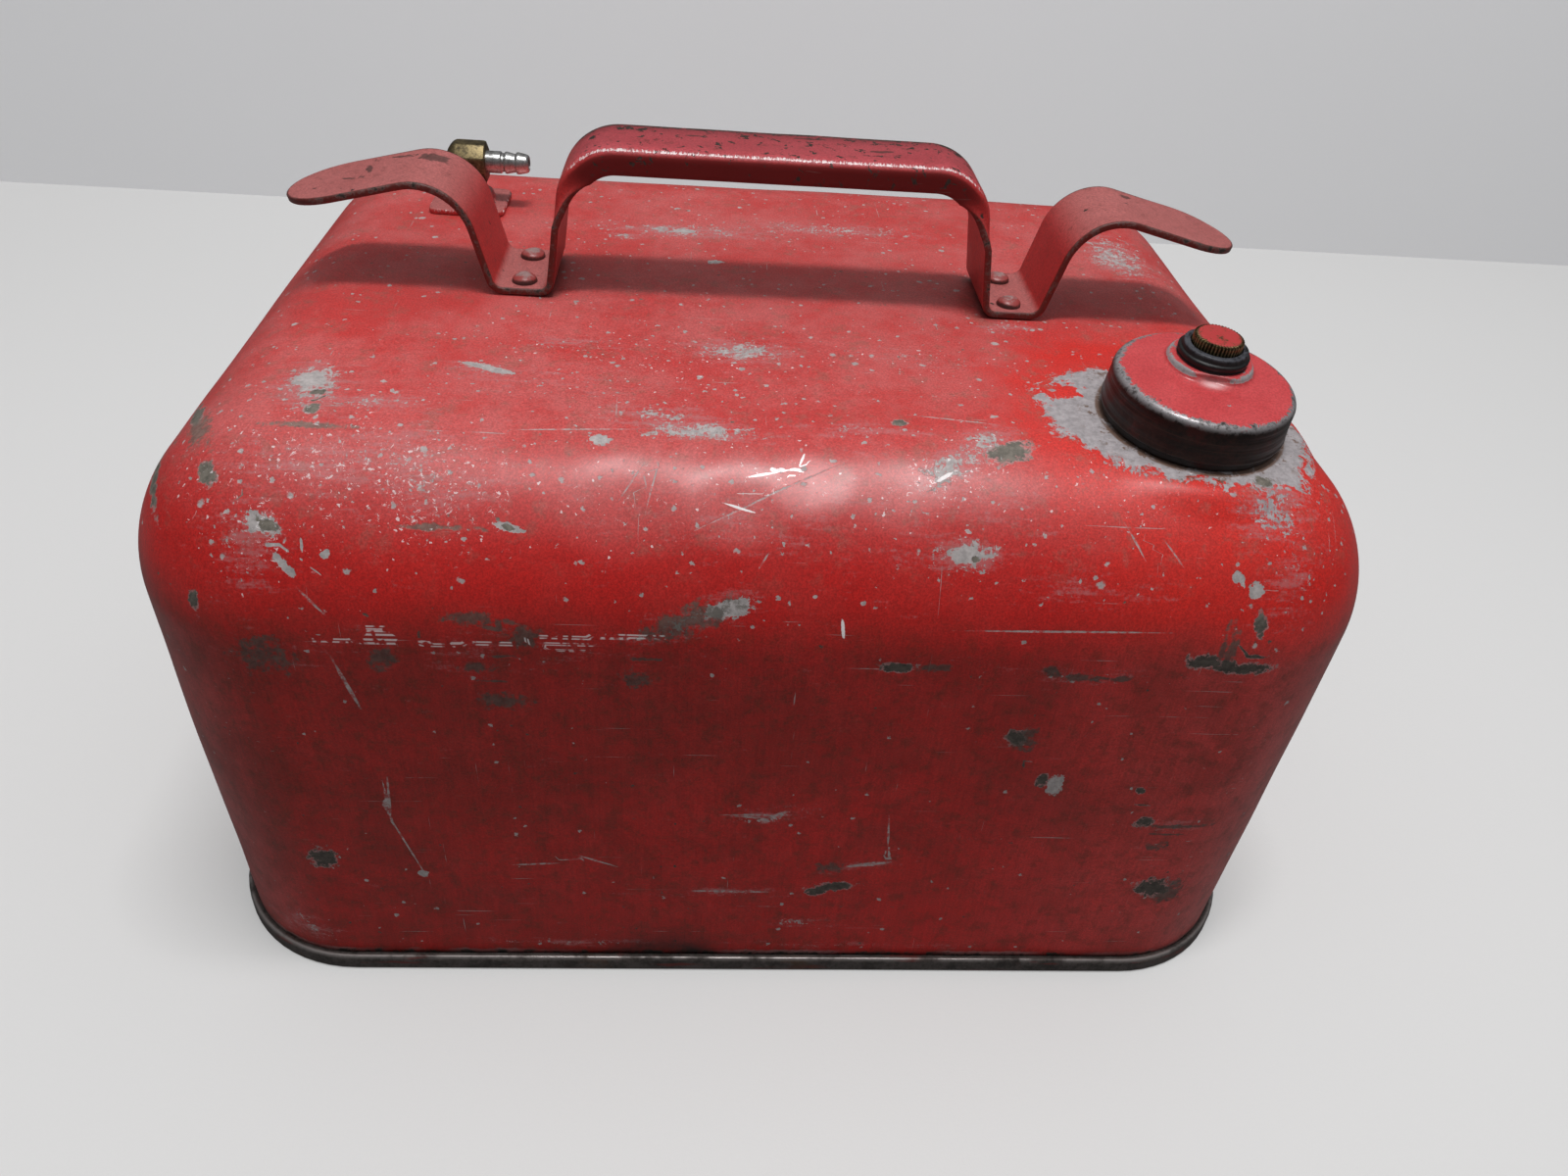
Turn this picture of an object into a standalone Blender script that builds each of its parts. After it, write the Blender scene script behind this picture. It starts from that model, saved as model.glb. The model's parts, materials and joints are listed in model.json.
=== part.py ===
"""A portable drawn-steel fuel tank with a strap handle, a screw cap with an air vent, and a hose outlet.

Metres, +Z up. The origin is the middle of the footprint, on the surface that the tank stands on.
+X runs along the length and -Y is the front, the side nearest the filler cap.
"""

import math

import bmesh
import bpy
from mathutils import Vector

# Body of the tank, measured on the outside of the sheet.
LENGTH = 0.406
WIDTH = 0.304
TOP_Z = 0.220
CORNER_RADIUS = 0.051
SHOULDER_RUN = 0.049
SHOULDER_DROP = 0.055
SHEET = 0.0010
CORNER_STEPS = 8
SHOULDER_STEPS = 8

# Rolled seam that joins the shell to the bottom pan, and the pan's recess.
SEAM_HEIGHT = 0.0072
SEAM_OVERHANG = 0.0035
PAN_SHEET = 0.0009
PAN_FLOOR_Z = 0.0090
FOOT_TRIM = 0.00005
HOOK_OUT = 0.0018
HOOK_TIP_Z = 0.0018
HOOK_TOP_Z = 0.0055
GAP = 0.0003

# Strap handle, one bent strip. The path is its mid-thickness line.
STRAP = 0.0027
STRAP_HALF = 0.019
GRIP_Z = 0.2726
GRIP_HALF_RUN = 0.0564
GRIP_BEND = 0.02065
GRIP_FLANGE = 0.0080
GRIP_SIDE = 0.01465
LEG_ANGLE = math.radians(82.3)
FOOT_BEND = 0.0042
FOOT_RUN = 0.01295
WING_BEND = 0.005
WING_ANGLE = math.radians(75.8)
WING_CREST_Z = 0.2583
WING_CREST_RADIUS = 0.0196
WING_SLOPE = math.radians(13.5)
WING_TIP_X = 0.1745
WING_ROUND_RUN = 0.020
RIVET_X = 0.0912
RIVET_Y = 0.0115
RIVET_SHANK = 0.0023
RIVET_HEAD = 0.0047
PLATE = 0.0020

# Filler: the neck, cap and vent share one axis frame, tipped forward with the seat.
FILLER_AT = Vector((0.1378, -0.0887, 0.2192))
FILLER_AXIS = Vector((0.023, -0.076, 1.0)).normalized()
SEAT_RADIUS = 0.0342
SEAT_DEPTH = 0.0022
NECK_RADIUS = 0.0269
NECK_WALL = 0.0010
NECK_TOP = 0.0128
NECK_FLANGE_DEPTH = 0.0030
NECK_LIP = 0.0246
CAP_RADIUS_LOW = 0.0303
CAP_RADIUS_HIGH = 0.0296
CAP_INSIDE = 0.0287
CAP_LOW = 0.0008
CAP_TOP = 0.0171
CAP_SHEET = 0.0010
THREAD_PITCH = 0.005
NECK_THREAD_LOW = 0.0042
NECK_THREAD_TURNS = 1.25
NECK_THREAD_CREST = 0.0282
CAP_THREAD_TURNS = 1.15
CAP_THREAD_LEAD = 0.2
CAP_THREAD_CREST = 0.0275
THREAD_WIDTH = 0.0024

# Air vent in the cap, beside the cap's own axis.
VENT_OFFSET = Vector((0.0030, 0.0070, 0.0))
BOSS_RADIUS = 0.0139
BOSS_TOP = 0.0200
COLLAR_TOP = 0.0249
COLLAR_STEM = 0.0055
KNOB_RADIUS = 0.0081
KNOB_LOW = 0.0240
KNOB_TOP = 0.0281
VENT_STEM = 0.0028

# Fuel outlet at the rear left.
OUTLET_AT = Vector((-0.1255, 0.0715, 0.0))
OUTLET_PAD = (0.031, 0.029)
HUB_TOP = 0.2265
SPUD_LOW = 0.2090
ELBOW_Z = 0.2382
ELBOW_RADIUS = 0.0083
ELBOW_BACK = 0.0081
ELBOW_FRONT = 0.0083
NIPPLE_RADIUS = 0.0042
NIPPLE_LENGTH = 0.0174
PICKUP_LOW = 0.0180
PICKUP_RADIUS = 0.0040

PARTS = None
CUTTERS = None


def clear_scene():
    for item in list(bpy.data.objects):
        bpy.data.objects.remove(item)


def new_collection(name):
    group = bpy.data.collections.new(name)
    bpy.context.scene.collection.children.link(group)
    return group


def material(name, colour, roughness, metallic):
    made = bpy.data.materials.get(name)
    if made is None:
        made = bpy.data.materials.new(name)
        made.use_nodes = True
        shader = made.node_tree.nodes["Principled BSDF"]
        shader.inputs["Base Color"].default_value = (*colour, 1.0)
        shader.inputs["Roughness"].default_value = roughness
        shader.inputs["Metallic"].default_value = metallic
    return made


def red_enamel():
    return material("red_enamel", (0.50, 0.045, 0.035), 0.42, 0.0)


def bare_steel():
    return material("bare_steel", (0.20, 0.18, 0.17), 0.5, 0.9)


def black_rubber():
    return material("black_rubber", (0.02, 0.02, 0.021), 0.7, 0.0)


def brass():
    return material("brass", (0.45, 0.36, 0.17), 0.4, 1.0)


def plated_steel():
    return material("plated_steel", (0.62, 0.62, 0.62), 0.28, 1.0)


def cork():
    return material("cork", (0.22, 0.13, 0.07), 0.9, 0.0)


def place(name, mesh, finish, parent=None, at=None):
    """Makes a node of the tank from a mesh."""
    item = bpy.data.objects.new(name, mesh)
    PARTS.objects.link(item)
    if not item.data.materials:
        item.data.materials.append(finish)
    item.parent = parent
    if at is not None:
        item.location = at
    return item


def cutter(name, mesh, parent=None, at=None):
    """Makes a tool body for a Boolean. It is not part of the tank."""
    item = bpy.data.objects.new(name, mesh)
    CUTTERS.objects.link(item)
    item.hide_render = True
    item.display_type = "WIRE"
    item.parent = parent
    if at is not None:
        item.location = at
    return item


def mesh_from(name, bm):
    bmesh.ops.recalc_face_normals(bm, faces=bm.faces)
    mesh = bpy.data.meshes.new(name)
    bm.to_mesh(mesh)
    bm.free()
    mesh.shade_smooth()
    mesh.set_sharp_from_angle(angle=math.radians(35))
    return mesh


def outline(inset):
    """The tank's rounded rectangle in plan, moved in by inset, as (x, y) points anticlockwise."""
    radius = CORNER_RADIUS - inset
    middle_x = LENGTH / 2 - CORNER_RADIUS
    middle_y = WIDTH / 2 - CORNER_RADIUS
    points = []
    for corner, (side_x, side_y) in enumerate(((1, 1), (-1, 1), (-1, -1), (1, -1))):
        for step in range(CORNER_STEPS + 1):
            angle = (corner + step / CORNER_STEPS) * math.pi / 2
            x = side_x * middle_x + radius * math.cos(angle)
            y = side_y * middle_y + radius * math.sin(angle)
            points.append((x, y))
    return points


def loft_outlines(name, stations, cap_last=True):
    """An open surface through outlines at (inset, z) stations, closed over at its last one."""
    bm = bmesh.new()
    rings = []
    for inset, z in stations:
        rings.append([bm.verts.new((x, y, z)) for x, y in outline(inset)])
    for low, high in zip(rings, rings[1:]):
        for index in range(len(low)):
            after = (index + 1) % len(low)
            bm.faces.new((low[index], low[after], high[after], high[index]))
    if cap_last:
        bm.faces.new(rings[-1])
    return mesh_from(name, bm)


def thicken(item, thickness, offset=0.0):
    shell = item.modifiers.new("sheet", "SOLIDIFY")
    shell.thickness = thickness
    shell.offset = offset
    shell.use_even_offset = True
    return shell


def combine(item, tool, operation="DIFFERENCE"):
    step = item.modifiers.new(tool.name, "BOOLEAN")
    step.operation = operation
    step.solver = "EXACT"
    step.object = tool
    return step


def turned_mesh(name, profile, closed=True):
    """A turned shape's profile as (radius, z), down the outer side first."""
    bm = bmesh.new()
    points = [bm.verts.new((radius, 0.0, z)) for radius, z in profile]
    for start, end in zip(points, points[1:]):
        bm.edges.new((start, end))
    if closed:
        bm.edges.new((points[-1], points[0]))
    mesh = bpy.data.meshes.new(name)
    bm.to_mesh(mesh)
    bm.free()
    return mesh


def turn(item, steps):
    screw = item.modifiers.new("turned", "SCREW")
    screw.steps = steps
    screw.render_steps = steps
    screw.use_merge_vertices = True
    screw.merge_threshold = 0.00001
    screw.use_smooth_shade = True
    return item


def turned(name, profile, finish, steps, closed=True, parent=None, at=None):
    return turn(place(name, turned_mesh(name, profile, closed), finish, parent, at), steps)


def turned_cutter(name, profile, steps, closed=False, parent=None, at=None):
    return turn(cutter(name, turned_mesh(name, profile, closed), parent, at), steps)


def rod(top, low, radius):
    """The profile of a plain round rod that closes on its axis."""
    return [(0.0, top), (radius, top), (radius, low), (0.0, low)]


def ring(outer, inner, top, low):
    """The profile of a flat washer."""
    return [(outer, top), (outer, low), (inner, low), (inner, top)]


def prism_mesh(name, half_x, half_y, low, high, radius=0.0, steps=4):
    """An upright block with rounded corners."""
    bm = bmesh.new()
    loops = []
    for z in (low, high):
        loop = []
        for corner, (side_x, side_y) in enumerate(((1, 1), (-1, 1), (-1, -1), (1, -1))):
            for step in range(steps + 1 if radius else 1):
                angle = (corner + step / steps) * math.pi / 2
                x = side_x * (half_x - radius) + radius * math.cos(angle)
                y = side_y * (half_y - radius) + radius * math.sin(angle)
                loop.append(bm.verts.new((x, y, z)))
        loops.append(loop)
    count = len(loops[0])
    for index in range(count):
        after = (index + 1) % count
        bm.faces.new((loops[0][index], loops[0][after], loops[1][after], loops[1][index]))
    bm.faces.new(loops[0])
    bm.faces.new(loops[1])
    return mesh_from(name, bm)


def helix_mesh(name, root, crest, low, turns, lead=0.0):
    """A thread's ridge: a tapered section wound up a helix, fading out at both ends."""
    steps_per_turn = 32
    steps = round(turns * steps_per_turn)
    fade = 4
    bm = bmesh.new()
    sections = []
    for step in range(steps + 1):
        turned_by = step / steps_per_turn
        angle = (turned_by + lead) * math.tau
        middle = low + THREAD_PITCH * turned_by
        grown = min(1.0, 0.25 + 0.75 * min(step, steps - step) / fade)
        top = root + (crest - root) * grown
        section = []
        for radius, z in (
            (root, middle - THREAD_WIDTH / 2),
            (top, middle - THREAD_WIDTH / 5),
            (top, middle + THREAD_WIDTH / 5),
            (root, middle + THREAD_WIDTH / 2),
        ):
            section.append(bm.verts.new((radius * math.cos(angle), radius * math.sin(angle), z)))
        sections.append(section)
    for here, there in zip(sections, sections[1:]):
        for index in range(4):
            after = (index + 1) % 4
            bm.faces.new((here[index], here[after], there[after], there[index]))
    bm.faces.new(sections[0])
    bm.faces.new(sections[-1])
    return mesh_from(name, bm)


def shoulder_stations():
    """Mid-sheet stations round the shoulder, from the side wall to the flat top."""
    stations = []
    for step in range(SHOULDER_STEPS + 1):
        angle = step / SHOULDER_STEPS * math.pi / 2
        run = SHOULDER_RUN - SHEET / 2
        drop = SHOULDER_DROP - SHEET / 2
        inset = SHEET / 2 + run * (1 - math.cos(angle))
        z = TOP_Z - SHEET / 2 - drop * (1 - math.sin(angle))
        stations.append((inset, z))
    return stations


def make_tank_shell(filler):
    stations = [(-HOOK_OUT, HOOK_TIP_Z), (-HOOK_OUT, HOOK_TOP_Z), (SHEET / 2, HOOK_TOP_Z)]
    stations += shoulder_stations()
    shell = place("tank_shell", loft_outlines("tank_shell", stations), red_enamel())
    thicken(shell, SHEET)
    relief = turned_cutter("seat_relief", rod(0.012, 0.0, SEAT_RADIUS - 0.0006), 36, parent=filler)
    combine(shell, relief)
    mouth = turned_cutter("mouth_hole", rod(0.01, -0.01, NECK_RADIUS + 0.0012), 32, parent=filler)
    combine(shell, mouth)
    profile = ring(SEAT_RADIUS, NECK_RADIUS + 0.0004, 0.0, -SEAT_DEPTH)
    seat = turned_cutter("filler_seat", profile, 40, closed=True, parent=filler)
    combine(shell, seat, "UNION")
    spud_hole = turned_cutter("spud_hole", rod(TOP_Z + 0.01, TOP_Z - 0.01, 0.0091), 20, at=OUTLET_AT)
    combine(shell, spud_hole)
    return shell


def make_bottom_pan():
    half = PAN_SHEET / 2
    outer = -(SEAM_OVERHANG - half)
    inner = SHEET + GAP + half
    bend = 0.0035
    web = half - FOOT_TRIM
    stations = [
        (-GAP - half, SEAM_HEIGHT - half),
        (outer, SEAM_HEIGHT - half),
        (outer, web),
        (inner, web),
        (inner, PAN_FLOOR_Z - bend),
        (inner + bend, PAN_FLOOR_Z),
    ]
    pan = place("bottom_pan", loft_outlines("bottom_pan", stations), bare_steel())
    thicken(pan, PAN_SHEET)
    low = prism_mesh("floor_trim", LENGTH, WIDTH, -0.01, 0.0)
    combine(pan, cutter("floor_trim", low))
    return pan


def bent_path(start, moves):
    """Points along a bent strip. A move is a length straight on, or (radius, turn, steps)."""
    x, z = start
    heading = 0.0
    points = [(x, z, heading)]
    for move in moves:
        if not isinstance(move, tuple):
            x += move * math.cos(heading)
            z += move * math.sin(heading)
            points.append((x, z, heading))
            continue
        radius, turn_by, steps = move
        side = math.copysign(radius, turn_by)
        centre_x = x - side * math.sin(heading)
        centre_z = z + side * math.cos(heading)
        for step in range(1, steps + 1):
            angle = heading + turn_by * step / steps
            points.append((centre_x + side * math.sin(angle), centre_z - side * math.cos(angle), angle))
        heading += turn_by
        x, z = points[-1][:2]
    return points


def strap_path():
    """The right half of the handle, from the middle of the grip to the wing's tip."""
    foot_z = TOP_Z + GAP + STRAP / 2
    leg_drop = GRIP_Z - foot_z - (GRIP_BEND + FOOT_BEND) * (1 - math.cos(LEG_ANGLE))
    leg = leg_drop / math.sin(LEG_ANGLE)
    rise = WING_CREST_Z - foot_z - (WING_BEND + WING_CREST_RADIUS) * (1 - math.cos(WING_ANGLE))
    wing_leg = rise / math.sin(WING_ANGLE)
    moves = [
        GRIP_HALF_RUN,
        (GRIP_BEND, -LEG_ANGLE, 7),
        leg,
        (FOOT_BEND, LEG_ANGLE, 4),
        FOOT_RUN,
        (WING_BEND, WING_ANGLE, 4),
        wing_leg,
        (WING_CREST_RADIUS, -WING_ANGLE - WING_SLOPE, 7),
    ]
    points = bent_path((0.0, GRIP_Z), moves)
    x, z, heading = points[-1]
    for share in (0.0, 0.35, 0.6, 0.78, 0.9, 0.98):
        there = WING_TIP_X - WING_ROUND_RUN * (1 - share)
        along = (there - x) / math.cos(heading)
        points.append((there, z + along * math.sin(heading), heading))
    return points


def strap_section(x, z, heading):
    """Across the strip at one path point: flat on the legs, edges turned down on the grip."""
    tip = max(0.0, (x - (WING_TIP_X - WING_ROUND_RUN)) / WING_ROUND_RUN)
    half = STRAP_HALF * math.sqrt(1 - tip * tip)
    turned_down = 0.0
    if x < GRIP_HALF_RUN + GRIP_BEND + FOOT_BEND:
        turned_down = max(0.0, min(1.0, (z - 0.247) / (GRIP_Z - 0.253)))
    flat = (half, half * 0.9, half * 0.78)
    channel = ((GRIP_SIDE, -GRIP_FLANGE), (GRIP_SIDE, -0.0026), (GRIP_SIDE - 0.0025, 0.0))
    outer = []
    for flat_y, (channel_y, down) in zip(flat, channel):
        y = flat_y + (channel_y - flat_y) * turned_down
        outer.append((y, down * turned_down))
    points = []
    for y, down in [(-y, down) for y, down in outer] + outer[::-1]:
        points.append((x - down * math.sin(heading), y, z + down * math.cos(heading)))
    return points


def make_handle():
    bm = bmesh.new()
    rows = []
    for x, z, heading in strap_path():
        rows.append([bm.verts.new(point) for point in strap_section(x, z, heading)])
    for here, there in zip(rows, rows[1:]):
        for index in range(len(here) - 1):
            bm.faces.new((here[index], there[index], there[index + 1], here[index + 1]))
    handle = place("carry_handle", mesh_from("carry_handle", bm), red_enamel())
    mirror = handle.modifiers.new("both_sides", "MIRROR")
    mirror.use_axis = (True, False, False)
    mirror.merge_threshold = 0.0001
    thicken(handle, STRAP)
    return handle


def make_backing_plate(name, side):
    high = TOP_Z - SHEET - GAP
    mesh = prism_mesh(name, 0.013, 0.019, high - PLATE, high, radius=0.004, steps=2)
    return place(name, mesh, bare_steel(), at=(side * RIVET_X, 0.0, 0.0))


def make_rivet(name, x, y):
    head = TOP_Z + 2 * GAP + STRAP
    tail = TOP_Z - SHEET - PLATE - 2 * GAP
    dome = []
    for step in range(4):
        angle = step / 4 * math.pi / 2
        dome.append((RIVET_HEAD * math.sin(angle), head + 0.0026 * math.cos(angle)))
    profile = dome + [
        (RIVET_HEAD, head + 0.0004),
        (RIVET_HEAD, head),
        (RIVET_SHANK, head),
        (RIVET_SHANK, tail),
        (0.0040, tail),
        (0.0034, tail - 0.0014),
        (0.0, tail - 0.0014),
    ]
    return turned(name, profile, red_enamel(), 12, closed=False, at=(x, y, 0.0))


def make_handle_group(shell):
    handle = make_handle()
    plates = {}
    for name, side in (("backing_plate_left", -1), ("backing_plate_right", 1)):
        plates[side] = make_backing_plate(name, side)
    for side, word in ((-1, "left"), (1, "right")):
        for depth, place_word in ((-1, "front"), (1, "rear")):
            x = side * RIVET_X
            y = depth * RIVET_Y
            label = f"{word}_{place_word}"
            make_rivet(f"handle_rivet_{label}", x, y)
            profile = rod(TOP_Z + 0.006, TOP_Z - 0.008, RIVET_SHANK + GAP)
            hole = turned_cutter(f"rivet_hole_{label}", profile, 12, at=(x, y, 0.0))
            for item in (handle, shell, plates[side]):
                combine(item, hole)


def make_filler_neck(filler):
    low = -NECK_FLANGE_DEPTH
    inside = NECK_RADIUS - NECK_WALL
    profile = [
        (NECK_LIP, NECK_TOP),
        (NECK_RADIUS - 0.0004, NECK_TOP),
        (NECK_RADIUS, NECK_TOP - 0.0004),
        (NECK_RADIUS, low),
        (0.031, low),
        (0.031, low - NECK_WALL),
        (inside, low - NECK_WALL),
        (inside, NECK_TOP - NECK_WALL),
        (NECK_LIP, NECK_TOP - NECK_WALL),
    ]
    neck = turned("filler_neck", profile, red_enamel(), 32, parent=filler)
    ridge = helix_mesh(
        "neck_thread", NECK_RADIUS - 0.0005, NECK_THREAD_CREST, NECK_THREAD_LOW, NECK_THREAD_TURNS
    )
    combine(neck, cutter("neck_thread", ridge, parent=filler), "UNION")
    return neck


def make_filler_cap(filler):
    inside_top = CAP_TOP - CAP_SHEET
    hem = CAP_LOW + 0.0022
    profile = [
        (0.0, CAP_TOP),
        (CAP_RADIUS_HIGH - 0.0025, CAP_TOP),
        (CAP_RADIUS_HIGH - 0.0007, CAP_TOP - 0.0007),
        (CAP_RADIUS_HIGH, CAP_TOP - 0.0025),
        (CAP_RADIUS_LOW, hem + 0.0004),
        (CAP_RADIUS_LOW - 0.0005, hem),
        (CAP_RADIUS_LOW, hem - 0.0006),
        (CAP_RADIUS_LOW, CAP_LOW + 0.0004),
        (CAP_RADIUS_LOW - 0.0004, CAP_LOW),
        (CAP_INSIDE, CAP_LOW),
        (CAP_INSIDE, inside_top - 0.001),
        (CAP_INSIDE - 0.001, inside_top),
        (0.0, inside_top),
    ]
    cap = turned("filler_cap", profile, red_enamel(), 36, closed=False, parent=filler)
    boss = [
        (0.0, BOSS_TOP),
        (BOSS_RADIUS - 0.0016, BOSS_TOP),
        (BOSS_RADIUS - 0.0005, BOSS_TOP - 0.0006),
        (BOSS_RADIUS, inside_top + 0.0006),
        (0.0, inside_top + 0.0006),
    ]
    combine(cap, turned_cutter("vent_boss", boss, 28, parent=filler, at=VENT_OFFSET), "UNION")
    hollow = rod(BOSS_TOP - CAP_SHEET, inside_top - 0.001, BOSS_RADIUS - 0.0015)
    combine(cap, turned_cutter("boss_hollow", hollow, 28, parent=filler, at=VENT_OFFSET))
    hole = rod(BOSS_TOP + 0.002, inside_top, COLLAR_STEM + GAP)
    combine(cap, turned_cutter("collar_hole", hole, 20, parent=filler, at=VENT_OFFSET))
    low = NECK_THREAD_LOW - THREAD_PITCH / 2 + THREAD_PITCH * CAP_THREAD_LEAD
    ridge = helix_mesh(
        "cap_thread", CAP_INSIDE + 0.0004, CAP_THREAD_CREST, low, CAP_THREAD_TURNS, CAP_THREAD_LEAD
    )
    combine(cap, cutter("cap_thread", ridge, parent=filler), "UNION")
    return cap


def make_cap_gasket(filler):
    top = CAP_TOP - CAP_SHEET - GAP
    profile = ring(CAP_INSIDE - 0.0012, NECK_LIP - 0.0006, top, NECK_TOP + GAP)
    return turned("cap_gasket", profile, cork(), 32, parent=filler)


def make_vent_collar(filler):
    bore = VENT_STEM + GAP
    seal_seat = COLLAR_TOP - 0.0025
    low = BOSS_TOP + GAP
    profile = [
        (KNOB_RADIUS + 0.0005, COLLAR_TOP),
        (0.0103, COLLAR_TOP),
        (0.0108, COLLAR_TOP - 0.0006),
        (0.0108, COLLAR_TOP - 0.0017),
        (0.0116, COLLAR_TOP - 0.0022),
        (0.0116, low),
        (COLLAR_STEM, low),
        (COLLAR_STEM, 0.0150),
        (bore, 0.0150),
        (bore, seal_seat),
        (0.0064, seal_seat),
        (0.0064, KNOB_LOW - GAP),
        (KNOB_RADIUS + 0.0005, KNOB_LOW - GAP),
    ]
    return turned("vent_collar", profile, black_rubber(), 28, parent=filler, at=VENT_OFFSET)


def make_vent_nut(filler):
    top = BOSS_TOP - CAP_SHEET - GAP
    low = top - 0.0030
    bm = bmesh.new()
    bmesh.ops.create_cone(
        bm, cap_ends=True, segments=6, radius1=0.0087, radius2=0.0087, depth=top - low
    )
    bmesh.ops.translate(bm, verts=bm.verts, vec=(0.0, 0.0, (top + low) / 2))
    nut = place("vent_collar_nut", mesh_from("vent_collar_nut", bm), bare_steel(), filler, VENT_OFFSET)
    hole = rod(top + 0.001, low - 0.001, COLLAR_STEM + GAP)
    combine(nut, turned_cutter("nut_hole", hole, 20, parent=filler, at=VENT_OFFSET))
    return nut


def make_vent_screw(filler):
    groove = 0.0111
    profile = [
        (0.0, KNOB_TOP),
        (KNOB_RADIUS - 0.0006, KNOB_TOP),
        (KNOB_RADIUS, KNOB_TOP - 0.0006),
        (KNOB_RADIUS, KNOB_LOW + 0.0004),
        (KNOB_RADIUS - 0.0004, KNOB_LOW),
        (VENT_STEM, KNOB_LOW),
        (VENT_STEM, groove + 0.0007),
        (0.0020, groove + 0.0007),
        (0.0020, groove - 0.0007),
        (VENT_STEM, groove - 0.0007),
        (VENT_STEM, 0.0098),
        (0.0018, 0.0088),
        (0.0, 0.0088),
    ]
    return turned("vent_screw", profile, brass(), 28, closed=False, parent=filler, at=VENT_OFFSET)


def make_vent_small_parts(filler):
    seal = ring(0.0060, VENT_STEM + GAP, KNOB_LOW - GAP, COLLAR_TOP - 0.0025 + GAP)
    turned("vent_seal", seal, black_rubber(), 24, parent=filler, at=VENT_OFFSET)
    clip = ring(0.0046, 0.0023, 0.0115, 0.0107)
    turned("vent_clip", clip, plated_steel(), 20, parent=filler, at=VENT_OFFSET)


def make_outlet_flange():
    half_x, half_y = (side / 2 for side in OUTLET_PAD)
    low = TOP_Z + GAP
    mesh = prism_mesh("outlet_flange", half_x, half_y, low, low + PLATE, radius=0.0045, steps=3)
    flange = place("outlet_flange", mesh, red_enamel(), at=OUTLET_AT)
    hub = [(0.0, HUB_TOP), (0.0094, HUB_TOP), (0.0104, low + 0.001), (0.0, low + 0.001)]
    combine(flange, turned_cutter("outlet_hub", hub, 24, at=OUTLET_AT), "UNION")
    spud = rod(low + 0.001, SPUD_LOW, 0.0087)
    combine(flange, turned_cutter("outlet_spud", spud, 24, at=OUTLET_AT), "UNION")
    socket = [
        (0.0, HUB_TOP + 0.001),
        (0.0058, HUB_TOP + 0.001),
        (0.0058, 0.2155),
        (0.0032, 0.2155),
        (0.0032, 0.2148),
        (PICKUP_RADIUS + GAP, 0.2148),
        (PICKUP_RADIUS + GAP, SPUD_LOW - 0.001),
        (0.0, SPUD_LOW - 0.001),
    ]
    combine(flange, turned_cutter("outlet_socket", socket, 20, at=OUTLET_AT))
    return flange


def make_elbow():
    """The barrel lies along +X with a rounded back end. The stem drops into the flange."""
    rounded = []
    for step in range(5):
        angle = step / 4 * math.pi / 2
        rounded.append((ELBOW_RADIUS * math.cos(angle), -ELBOW_BACK + 0.005 * (1 - math.sin(angle))))
    profile = [
        (0.0, ELBOW_FRONT),
        (ELBOW_RADIUS - 0.0007, ELBOW_FRONT),
        (ELBOW_RADIUS, ELBOW_FRONT - 0.0007),
    ] + rounded
    elbow = turned("outlet_elbow", profile, brass(), 24, closed=False)
    elbow.location = OUTLET_AT + Vector((0.0, 0.0, ELBOW_Z))
    elbow.rotation_euler = (0.0, math.pi / 2, 0.0)
    low = HUB_TOP + GAP
    stem = [
        (0.0, ELBOW_Z),
        (0.0074, ELBOW_Z),
        (0.0074, low + 0.0006),
        (0.0068, low),
        (0.0055, low),
        (0.0055, 0.2158),
        (0.0, 0.2158),
    ]
    combine(elbow, turned_cutter("elbow_stem", stem, 24, at=OUTLET_AT), "UNION")
    along = turned_cutter("elbow_port", rod(0.012, 0.0015, NIPPLE_RADIUS + 0.0005), 20)
    along.location = OUTLET_AT + Vector((0.0, 0.0, ELBOW_Z))
    along.rotation_euler = (0.0, math.pi / 2, 0.0)
    combine(elbow, along)
    drop = rod(ELBOW_Z + 0.002, 0.214, 0.0030)
    combine(elbow, turned_cutter("elbow_drop", drop, 20, at=OUTLET_AT))
    return elbow


def make_nipple():
    """A two-barb hose nipple. Its root is held in the elbow's port."""
    root = ELBOW_FRONT - 0.0062
    tip = ELBOW_FRONT + NIPPLE_LENGTH
    profile = [
        (0.0034, tip),
        (0.0040, tip - 0.0008),
        (NIPPLE_RADIUS, tip - 0.0044),
        (0.0038, tip - 0.0049),
        (NIPPLE_RADIUS, tip - 0.0102),
        (0.0038, tip - 0.0107),
        (0.0040, ELBOW_FRONT),
        (0.0044, ELBOW_FRONT - 0.0006),
        (0.0044, root),
        (0.0024, root),
        (0.0024, tip),
    ]
    nipple = turned("hose_nipple", profile, plated_steel(), 24)
    nipple.location = OUTLET_AT + Vector((0.0, 0.0, ELBOW_Z))
    nipple.rotation_euler = (0.0, math.pi / 2, 0.0)
    return nipple


def make_pickup():
    tube = ring(PICKUP_RADIUS, PICKUP_RADIUS - 0.0008, 0.2145, PICKUP_LOW)
    turned("pickup_tube", tube, plated_steel(), 16, at=OUTLET_AT)
    collar = PICKUP_RADIUS + GAP
    strainer = [
        (0.0, 0.0132),
        (0.0072, 0.0132),
        (0.0072, 0.0350),
        (0.0056, 0.0372),
        (collar, 0.0372),
        (collar, 0.0380),
        (0.0062, 0.0380),
        (0.0080, 0.0355),
        (0.0080, 0.0130),
        (0.0074, 0.0124),
        (0.0, 0.0124),
    ]
    return turned("pickup_screen", strainer, brass(), 16, closed=False, at=OUTLET_AT)


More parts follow.
